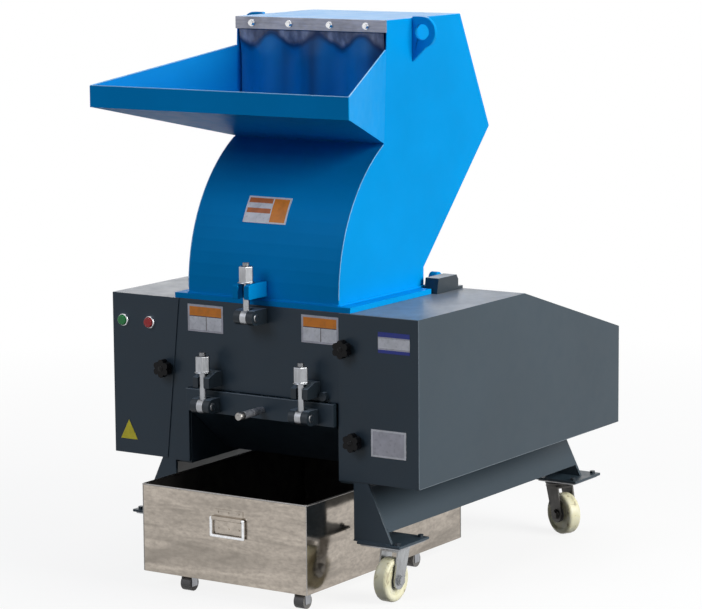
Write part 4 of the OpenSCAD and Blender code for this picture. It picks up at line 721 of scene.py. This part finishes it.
def neck_place(u, v, out):
    z = NECK_PLATE_Z[0] + (NECK_PLATE_Z[1] - NECK_PLATE_Z[0]) * v
    r = NECK_R + NECK_PLATE_GAP + LABEL_T * out
    a = math.asin((z - NECK_ARC_Z) / r)
    return at(NECK_PLATE_X + NECK_PLATE_W * u, NECK_CENTRE_Y - r * math.cos(a), z)


def neck_paint(u, v):
    """Two brown bars on white at the left and an orange field at the right, inside a white rim."""
    if not (NECK_US[1] < u < NECK_US[6] and NECK_VS[1] < v < NECK_VS[6]):
        return WHITE
    if u > NECK_US[4]:
        return ORANGE
    if u > NECK_US[3]:
        return WHITE
    return BROWN if v > NECK_VS[5] or NECK_VS[3] < v < NECK_VS[4] else WHITE


def make_neck_plate():
    """The plate that lies on the neck's curve."""
    bm = bmesh.new()
    plate(bm, neck_place, cut_fields(NECK_US, NECK_VS, neck_paint))
    bmesh.ops.remove_doubles(bm, verts=bm.verts, dist=1e-6)
    obj = new_piece("neck_plate_face", bm, "hopper", NECK_PLATE_LOOKS, 0)
    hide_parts("neck_plate")


make_front_plates()
make_neck_plate()

# Push buttons with domed caps and bezels with a rolled edge

START_X = -383.0
STOP_X = -308.0
BUTTON_Z = 582.0
CAP_PROFILE = [(0, -13.0), (11.4, -13.0), (11.4, 9.6), (10.9, 10.6), (9.8, 11.1), (7, 11.35), (0, 11.5)]
BEZEL_PROFILE = [(14.75, 0.1), (14.75, 3.4), (14.3, 4.8), (13.3, 6.4), (12.6, 6.95), (12.1, 6.6), (12.0, 4.0),
                 (12.0, 0.1)]
SOCKET_PROFILE = [(12.9, 0.0), (12.9, 36.0), (0, 36.0)]


def make_buttons():
    for name, body, x, slot, material in (
            ("start_button", "start_cap", START_X, "button_green", green),
            ("stop_button", "stop_cap", STOP_X, "button_red", red)):
        bm = bmesh.new()
        lathe(bm, CAP_PROFILE, at(x, 0, BUTTON_Z), -AY)
        obj = new_piece(name + "_cap", bm, body, [material], 45)
        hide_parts(name)
    bm = bmesh.new()
    for x in (START_X, STOP_X):
        lathe(bm, BEZEL_PROFILE, at(x, 0, BUTTON_Z), -AY)
        lathe(bm, SOCKET_PROFILE, at(x, 0, BUTTON_Z), AY)
    obj = new_piece("bezel_rings", bm, "frame", [chrome], 40)
    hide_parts("button_bezels")


make_buttons()

# Small hardware: threads, pin washers, knob inserts, casters' races and nuts, motor details, cradle handle

# Each latch's name, X, pivot height, height of the washer over the pivot, and the bolt's body
LATCHES = (("top", -9.0, 622.0, 77.0, "top_bolt"), ("left", -132.0, 410.5, 76.0, "left_bolt"),
           ("right", 135.0, 410.5, 76.0, "right_bolt"))
BOLT_Y = -40.0
WASHER_T = 3
NUT_L = 35
BOLT_END_L = 8
THREAD_R = 7.35
THREAD_PITCH = 2
THREAD_TURNS = 4
PIN_HALF_L = 25.6
PIN_WASHER_PROFILE = [(9.5, 0), (9.5, 1.2), (8.8, 1.7), (0, 1.7)]


def make_threads():
    for name, x, pivot_z, reach, body in LATCHES:
        bm = bmesh.new()
        end = pivot_z + reach + WASHER_T + NUT_L + BOLT_END_L
        for i in range(THREAD_TURNS):
            z = end - 1.2 - THREAD_PITCH * i
            tube(bm, ring_points(at(x, BOLT_Y, z), THREAD_R, AX, AY, 28), 0.5, 6, closed=True)
        new_piece(name + "_thread", bm, body, [darkened_zinc], 50)


def make_latch_pin_ends():
    """A flat washer on each end of the latch pins."""
    for name, x, pivot_z, reach, body in LATCHES:
        bm = bmesh.new()
        for sign in (-1, 1):
            end = at(x + sign * PIN_HALF_L, BOLT_Y, pivot_z)
            lathe(bm, PIN_WASHER_PROFILE, end, AX * sign, 28)
        holder = "frame" if name == "top" else "cradle"
        new_piece(name + "_pin_washers", bm, holder, [zinc], 40)


# Each star knob's name, X and Z
KNOBS = (("left_knob", -263, 481), ("right_upper_knob", 227, 567), ("right_lower_knob", 252, 362))
INSERT_PROFILE = [(6.2, 24.1), (6.2, 25.0), (5.4, 25.6), (0, 25.8)]


def make_knob_inserts():
    for name, x, z in KNOBS:
        bm = bmesh.new()
        lathe(bm, INSERT_PROFILE, at(x, 0, z), -AY, 32)
        new_piece(name + "_insert", bm, name + "_body", [knob_black], 40)


# Each caster's name, X, Y and swivel in degrees
CASTERS = (("front_left", -320.0, 73.0, 15.0), ("front_right", 310.0, 73.0, 0.0),
           ("rear_left", -292.0, 832.0, -20.0), ("rear_right", 292.0, 832.0, 65.0))
TRAIL = 25.0
WHEEL_R = 50
RACE_PROFILE = [(29.3, 119.0), (31.0, 120.5), (31.4, 123.5), (29.6, 126.0), (26.0, 127.4), (0, 127.6)]
AXLE_NUT_PROFILE = [(10.4, 27.6), (10.4, 30.6), (9.6, 31.6), (0, 31.6)]
HUB_CAP_PROFILE = [(12.2, 16.4), (18.5, 15.4), (19.5, 14.2), (19.5, 13.6), (0, 13.6)]


def make_caster_details():
    for name, x, y, turn in CASTERS:
        a = math.radians(turn)
        axle = Vector((math.cos(a), math.sin(a), 0))
        hub = at(x + TRAIL * math.sin(a), y - TRAIL * math.cos(a), WHEEL_R)
        bm = bmesh.new()
        lathe(bm, RACE_PROFILE, at(x, y, 0), AZ, 40)
        for sign in (-1, 1):
            lathe(bm, AXLE_NUT_PROFILE, hub, axle * sign, 6)
        # Rear forks and their races take the zinc darkened as painted shade.
        steel = darkened_zinc if "rear" in name else fork_steel
        new_piece(name + "_fork_race", bm, name + "_fork", [steel], 30)
        bm = bmesh.new()
        for sign in (-1, 1):
            lathe(bm, HUB_CAP_PROFILE, hub, axle * sign, 40)
        new_piece(name + "_wheel_cap", bm, name + "_wheel", [roller_grey], 30)


MOTOR_Y = 690.0
MOTOR_Z = 350.0
MOTOR_LEFT_X = -170.0
TERMINAL_BOX_TOP_Z = 516.0
SCREW_PROFILE = [(4.5, 0), (4.5, 2.0), (3.4, 3.2), (0, 3.4)]
GRILLE_R = 108


def make_motor_details():
    bm = bmesh.new()
    face = at(MOTOR_LEFT_X - 1.2, MOTOR_Y, MOTOR_Z)
    for radius in range(18, GRILLE_R + 1, 9):
        tube(bm, ring_points(face, radius, AY, AZ, 64), 1.3, 6, closed=True)
    for i in range(8):
        a = math.pi * i / 8
        reach = GRILLE_R * MM * (math.cos(a) * AY + math.sin(a) * AZ)
        tube(bm, [face - reach, face + reach], 1.5, 6)
    new_piece("fan_grille", bm, "frame", [motor_paint], 50)
    bm = bmesh.new()
    for dx in (-72, 12):
        for dy in (-42, 42):
            lathe(bm, SCREW_PROFILE, at(dx, MOTOR_Y + dy, TERMINAL_BOX_TOP_Z), AZ, 16)
    new_piece("terminal_box_screws", bm, "frame", [zinc], 40)


HANDLE_X = 10.0
HANDLE_Z = 410.5
HANDLE_BAR_PROFILE = [(0, 12.0), (7.6, 12.0), (7.6, 26.0), (8.6, 27.0), (8.6, 52.0), (7.8, 52.8), (7.8, 54.4),
                      (8.6, 55.2), (8.6, 84.0), (7.8, 84.8), (7.8, 87.0), (0, 87.0)]
HANDLE_END_PROFILE = [(0, 86.4), (8.6, 86.4), (9.4, 87.2), (9.4, 102.6), (8.2, 104.2), (4.0, 104.4),
                      (3.0, 103.4), (0, 103.2)]


def make_bar_handle():
    """The cradle's handle: a turned bar with a collar, two grooves and a chamfered end."""
    bm = bmesh.new()
    place = at(HANDLE_X, 0, HANDLE_Z)
    lathe(bm, HANDLE_BAR_PROFILE, place, -AY, 40)
    lathe(bm, HANDLE_END_PROFILE, place, -AY, 40, index=1)
    obj = new_piece("cradle_bar_handle", bm, "cradle", [handle_steel, nut_steel], 40)
    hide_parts("cradle_handle")


make_bar_handle()
make_threads()
make_latch_pin_ends()
make_knob_inserts()
make_caster_details()
make_motor_details()

# Weld beads along the joints of the painted sheets

def bead(name, body, material, runs, radius):
    bm = bmesh.new()
    for a, b in runs:
        tube(bm, line(a, b, 2.0), radius, 8, lump=0.2)
    new_piece(name, bm, body, [material], 60)


# The lines that the beads follow: throat, hopper foot, front foot plates, lugs and deck strips
THROAT_Y = 197.3
THROAT_Z = 997.6
THROAT_HALF_W = 202
HOPPER_FOOT_X = 204
HOPPER_FOOT_Y = (9, 361)
HOPPER_FOOT_Z = 657.3
FRONT_BEAD_Y = 2.2
FOOT_PLATE_Z = 139.6
FOOT_PLATE_X = (243, 342)
LUG_FOOT_Z = 452.4
DECK_BEAD_X = 281.6
DECK_BEAD_Y = (12, 850)
DECK_BEAD_Z = 263


def run_across(x0, x1, y, z):
    """The two ends of a run from left to right."""
    return at(x0, y, z), at(x1, y, z)


def run_back(x, span, z):
    """The two ends of a run from front to back."""
    return at(x, span[0], z), at(x, span[1], z)


def make_welds():
    bead("hopper_foot_weld", "hopper", blue, [
        run_across(-HOPPER_FOOT_X, HOPPER_FOOT_X, HOPPER_FOOT_Y[0], HOPPER_FOOT_Z),
        run_back(HOPPER_FOOT_X, HOPPER_FOOT_Y, HOPPER_FOOT_Z),
        run_back(-HOPPER_FOOT_X, HOPPER_FOOT_Y, HOPPER_FOOT_Z),
        run_across(-HOPPER_FOOT_X, HOPPER_FOOT_X, HOPPER_FOOT_Y[1], HOPPER_FOOT_Z)], 2.6)
    bead("throat_weld", "hopper", blue, [
        run_across(-THROAT_HALF_W, THROAT_HALF_W, THROAT_Y, THROAT_Z)], 1.8)
    bead("frame_welds", "frame", anthracite, [
        run_across(FOOT_PLATE_X[0], FOOT_PLATE_X[1], FRONT_BEAD_Y, FOOT_PLATE_Z),
        run_across(-FOOT_PLATE_X[1], -FOOT_PLATE_X[0], FRONT_BEAD_Y, FOOT_PLATE_Z),
        run_across(-175, -112, FRONT_BEAD_Y, LUG_FOOT_Z),
        run_across(114, 156, FRONT_BEAD_Y, LUG_FOOT_Z),
        run_back(DECK_BEAD_X, DECK_BEAD_Y, DECK_BEAD_Z),
        run_back(-DECK_BEAD_X, DECK_BEAD_Y, DECK_BEAD_Z)], 1.8)


make_welds()

# Painted highlights along edges, as paler tubes: tray, neck, guard and the cradle's front

# The lines of the painted edge highlights, just proud of the sheets
NECK_EDGE_X = 203.4
NECK_EDGE_R = 379.4
NECK_EDGE_END = math.radians(59)
TRAY_BACK = (202.6, 204, 1204.6)
TRAY_CORNER_X = 342.6
TRAY_CORNER_Z = 1132.2
TRAY_SIDE_END_Y = -156
TRAY_LIP_Y = -156.6
GUARD_LEFT_X = 210
GUARD_RIGHT_X = 414.2
GUARD_FRONT_Y = 0.8
GUARD_LOW_Z = 271.8
GUARD_TOP_Z = 643.2
GUARD_EDGE_END_Y = 780
CRADLE_EDGE_INSET = 0.6


def neck_edge(side, count=60):
    """Points along the neck's front edge on one side."""
    out = []
    for i in range(count + 1):
        a = NECK_EDGE_END * i / count
        out.append(at(side * NECK_EDGE_X, NECK_CENTRE_Y - NECK_EDGE_R * math.cos(a),
                      NECK_ARC_Z + NECK_EDGE_R * math.sin(a)))
    return out


def make_hopper_edges():
    bm = bmesh.new()
    for side in (-1, 1):
        back = at(side * TRAY_BACK[0], TRAY_BACK[1], TRAY_BACK[2])
        front = at(side * TRAY_CORNER_X, TRAY_SIDE_END_Y, TRAY_CORNER_Z)
        tube(bm, line(back, front, 6), 1.5, 8)
        tube(bm, neck_edge(side), 1.1, 8)
    lip = run_across(-TRAY_CORNER_X, TRAY_CORNER_X, TRAY_LIP_Y, TRAY_CORNER_Z)
    tube(bm, line(*lip, 6), 1.4, 8)
    new_piece("blue_edge_highlights", bm, "hopper", [blue_edge_highlight], 60)


def make_guard_edges():
    bm = bmesh.new()
    low, high = (at(GUARD_RIGHT_X, GUARD_FRONT_Y, z) for z in (273, 643))
    tube(bm, line(low, high, 6), 1.1, 8)
    tube(bm, line(*run_across(GUARD_LEFT_X, 414, GUARD_FRONT_Y, GUARD_TOP_Z), 6), 1.0, 8)
    tube(bm, line(*run_back(GUARD_RIGHT_X, (2, GUARD_EDGE_END_Y), GUARD_LOW_Z), 8), 1.0, 8)
    new_piece("dark_edge_highlights", bm, "frame", [dark_edge_highlight], 60)


def make_cradle_edge():
    """A painted highlight along the top of the cradle's front flange, found from the frame's own mesh."""
    spots = [v.co for v in frame["nodes"]["cradle_frame"].data.vertices]
    front_y = min(p.y for p in spots)
    flange = [p for p in spots if p.y < front_y + MM]
    top_z = max(p.z for p in flange)
    top_xs = [p.x for p in flange if p.z > top_z - MM]
    inset = CRADLE_EDGE_INSET * MM
    ends = [Vector((x, front_y + inset, top_z - inset)) for x in (min(top_xs), max(top_xs))]
    bm = bmesh.new()
    tube(bm, line(*ends, 6), 1.1, 8)
    new_piece("cradle_edge_highlight", bm, "cradle", [dark_edge_highlight], 60)


make_hopper_edges()
make_guard_edges()
make_cradle_edge()

# Studio: pale floor and surround, a soft key from the machine's right, a weak fill, rear and top lights

def background_share(tree):
    """1 for rays that see the background directly, in a mirror or through glass."""
    path = tree.nodes.new("ShaderNodeLightPath")
    total = None
    for key in ("Is Camera Ray", "Is Glossy Ray", "Is Transmission Ray"):
        if total is None:
            total = path.outputs[key]
            continue
        most = tree.nodes.new("ShaderNodeMath")
        most.operation = "MAXIMUM"
        tree.links.new(total, most.inputs[0])
        tree.links.new(path.outputs[key], most.inputs[1])
        total = most.outputs[0]
    return total


WORLD_LIGHT = 0.09
FLOOR_SHADOW_SHARE = 0.14
SHADOW_NEAR = 1.2
SHADOW_FAR = 3.2
PAPER_BOUNCE = 0.06
PAPER_SEEN = 1.0
FLOOR_HALF = 70.0
FLOOR_Z = -0.0002


def make_world():
    """A weak bluish light from all round, seen itself as white."""
    world = bpy.data.worlds.new("studio")
    bpy.context.scene.world = world
    world.use_nodes = True
    tree = world.node_tree
    tree.nodes.clear()
    light = tree.nodes.new("ShaderNodeBackground")
    light.inputs["Color"].default_value = (0.7, 0.84, 1.0, 1)
    light.inputs["Strength"].default_value = WORLD_LIGHT
    seen = tree.nodes.new("ShaderNodeBackground")
    seen.inputs["Color"].default_value = (1, 1, 1, 1)
    mixed = tree.nodes.new("ShaderNodeMixShader")
    out = tree.nodes.new("ShaderNodeOutputWorld")
    tree.links.new(background_share(tree), mixed.inputs[0])
    tree.links.new(light.outputs[0], mixed.inputs[1])
    tree.links.new(seen.outputs[0], mixed.inputs[2])
    tree.links.new(mixed.outputs[0], out.inputs["Surface"])


def make_floor():
    """White paper seen as glowing, but for a soft shadow that fades with distance from the machine."""
    mesh = bpy.data.meshes.new("floor")
    s = FLOOR_HALF
    mesh.from_pydata([(-s, -s, 0), (s, -s, 0), (s, s, 0), (-s, s, 0)], [], [(0, 1, 2, 3)])
    obj = bpy.data.objects.new("floor", mesh)
    bpy.context.scene.collection.objects.link(obj)
    obj.location.z = FLOOR_Z
    material = bpy.data.materials.new("floor_paper")
    material.use_nodes = True
    tree = material.node_tree
    paper = tree.nodes["Principled BSDF"]
    tone = tree.nodes.new("ShaderNodeMix")
    tone.data_type = "RGBA"
    tone.inputs[MIX_A].default_value = (PAPER_BOUNCE, PAPER_BOUNCE, PAPER_BOUNCE, 1)
    tone.inputs[MIX_B].default_value = (PAPER_SEEN, PAPER_SEEN, PAPER_SEEN, 1)
    tree.links.new(background_share(tree), tone.inputs[0])
    tree.links.new(tone.outputs[MIX_COLOR], paper.inputs["Base Color"])
    paper.inputs["Roughness"].default_value = 0.9
    paper.inputs["Specular IOR Level"].default_value = 0.1
    glow = tree.nodes.new("ShaderNodeEmission")
    glow.inputs["Strength"].default_value = 1.0
    share = tree.nodes.new("ShaderNodeMath")
    share.operation = "MULTIPLY"
    spot = tree.nodes.new("ShaderNodeTexCoord")
    reach = tree.nodes.new("ShaderNodeVectorMath")
    reach.operation = "LENGTH"
    tree.links.new(spot.outputs["Object"], reach.inputs[0])
    glowing = tree.nodes.new("ShaderNodeMapRange")
    glowing.inputs["From Min"].default_value = SHADOW_NEAR
    glowing.inputs["From Max"].default_value = SHADOW_FAR
    glowing.inputs["To Min"].default_value = 1 - FLOOR_SHADOW_SHARE
    glowing.inputs["To Max"].default_value = 1.0
    tree.links.new(reach.outputs["Value"], glowing.inputs["Value"])
    tree.links.new(glowing.outputs["Result"], share.inputs[1])
    tree.links.new(background_share(tree), share.inputs[0])
    mixed = tree.nodes.new("ShaderNodeMixShader")
    tree.links.new(share.outputs[0], mixed.inputs[0])
    tree.links.new(paper.outputs[0], mixed.inputs[1])
    tree.links.new(glow.outputs[0], mixed.inputs[2])
    tree.links.new(mixed.outputs[0], tree.nodes["Material Output"].inputs["Surface"])
    mesh.materials.append(material)


def area_light(name, place, target, size, power, color=(1, 1, 1)):
    """A panel of light at place that faces target, both in metres of the row frame, with power in watts."""
    data = bpy.data.lights.new(name, "AREA")
    data.shape = "RECTANGLE"
    data.size, data.size_y = size
    data.energy = power
    data.color = color
    obj = bpy.data.objects.new(name, data)
    bpy.context.scene.collection.objects.link(obj)
    obj.location = place
    obj.rotation_mode = "QUATERNION"
    obj.rotation_quaternion = (Vector(target) - Vector(place)).to_track_quat("-Z", "Y")


# The photo's camera: focal length in pixels, turns in radians and place in millimetres
CAMERA_F_PX = 2923.208
CAMERA_YAW = 0.582919
CAMERA_PITCH = 0.152625
CAMERA_ROLL = -0.007964
CAMERA_PLACE = (3706.1, -5254.1, 1633.4)
IMAGE_W = 702
SENSOR = 36.0


def make_camera():
    data = bpy.data.cameras.new("camera")
    data.sensor_width = SENSOR
    data.lens = CAMERA_F_PX * SENSOR / IMAGE_W
    data.clip_end = 100
    obj = bpy.data.objects.new("camera", data)
    bpy.context.scene.collection.objects.link(obj)
    right = Vector((math.cos(CAMERA_YAW), math.sin(CAMERA_YAW), 0))
    ahead = Vector((-math.sin(CAMERA_YAW) * math.cos(CAMERA_PITCH),
                    math.cos(CAMERA_YAW) * math.cos(CAMERA_PITCH), -math.sin(CAMERA_PITCH)))
    up = right.cross(ahead)
    c, s = math.cos(CAMERA_ROLL), math.sin(CAMERA_ROLL)
    right, up = c * right + s * up, c * up - s * right
    turn = Matrix((right, up, -ahead)).transposed()
    obj.matrix_world = Matrix.Translation(at(*CAMERA_PLACE)) @ turn.to_4x4()
    bpy.context.scene.camera = obj


make_world()
make_floor()
make_camera()
area_light("key", (4.2, 0.4, 2.1), (0, 0, 0.7), (2.6, 2.6), 190, (1.0, 0.99, 0.95))
area_light("fill", (-1.2, -4.2, 3.5), (0, 0, 0.7), (2.2, 2.2), 64, (0.84, 0.88, 1.0))
area_light("rear", (-3.4, 3.8, 2.6), (0, 0, 0.6), (2.4, 2.4), 20)
area_light("top", (0.2, 0.6, 4.2), (0, 0, 0.6), (2.6, 2.6), 52)

bpy.context.scene.view_settings.view_transform = "Standard"
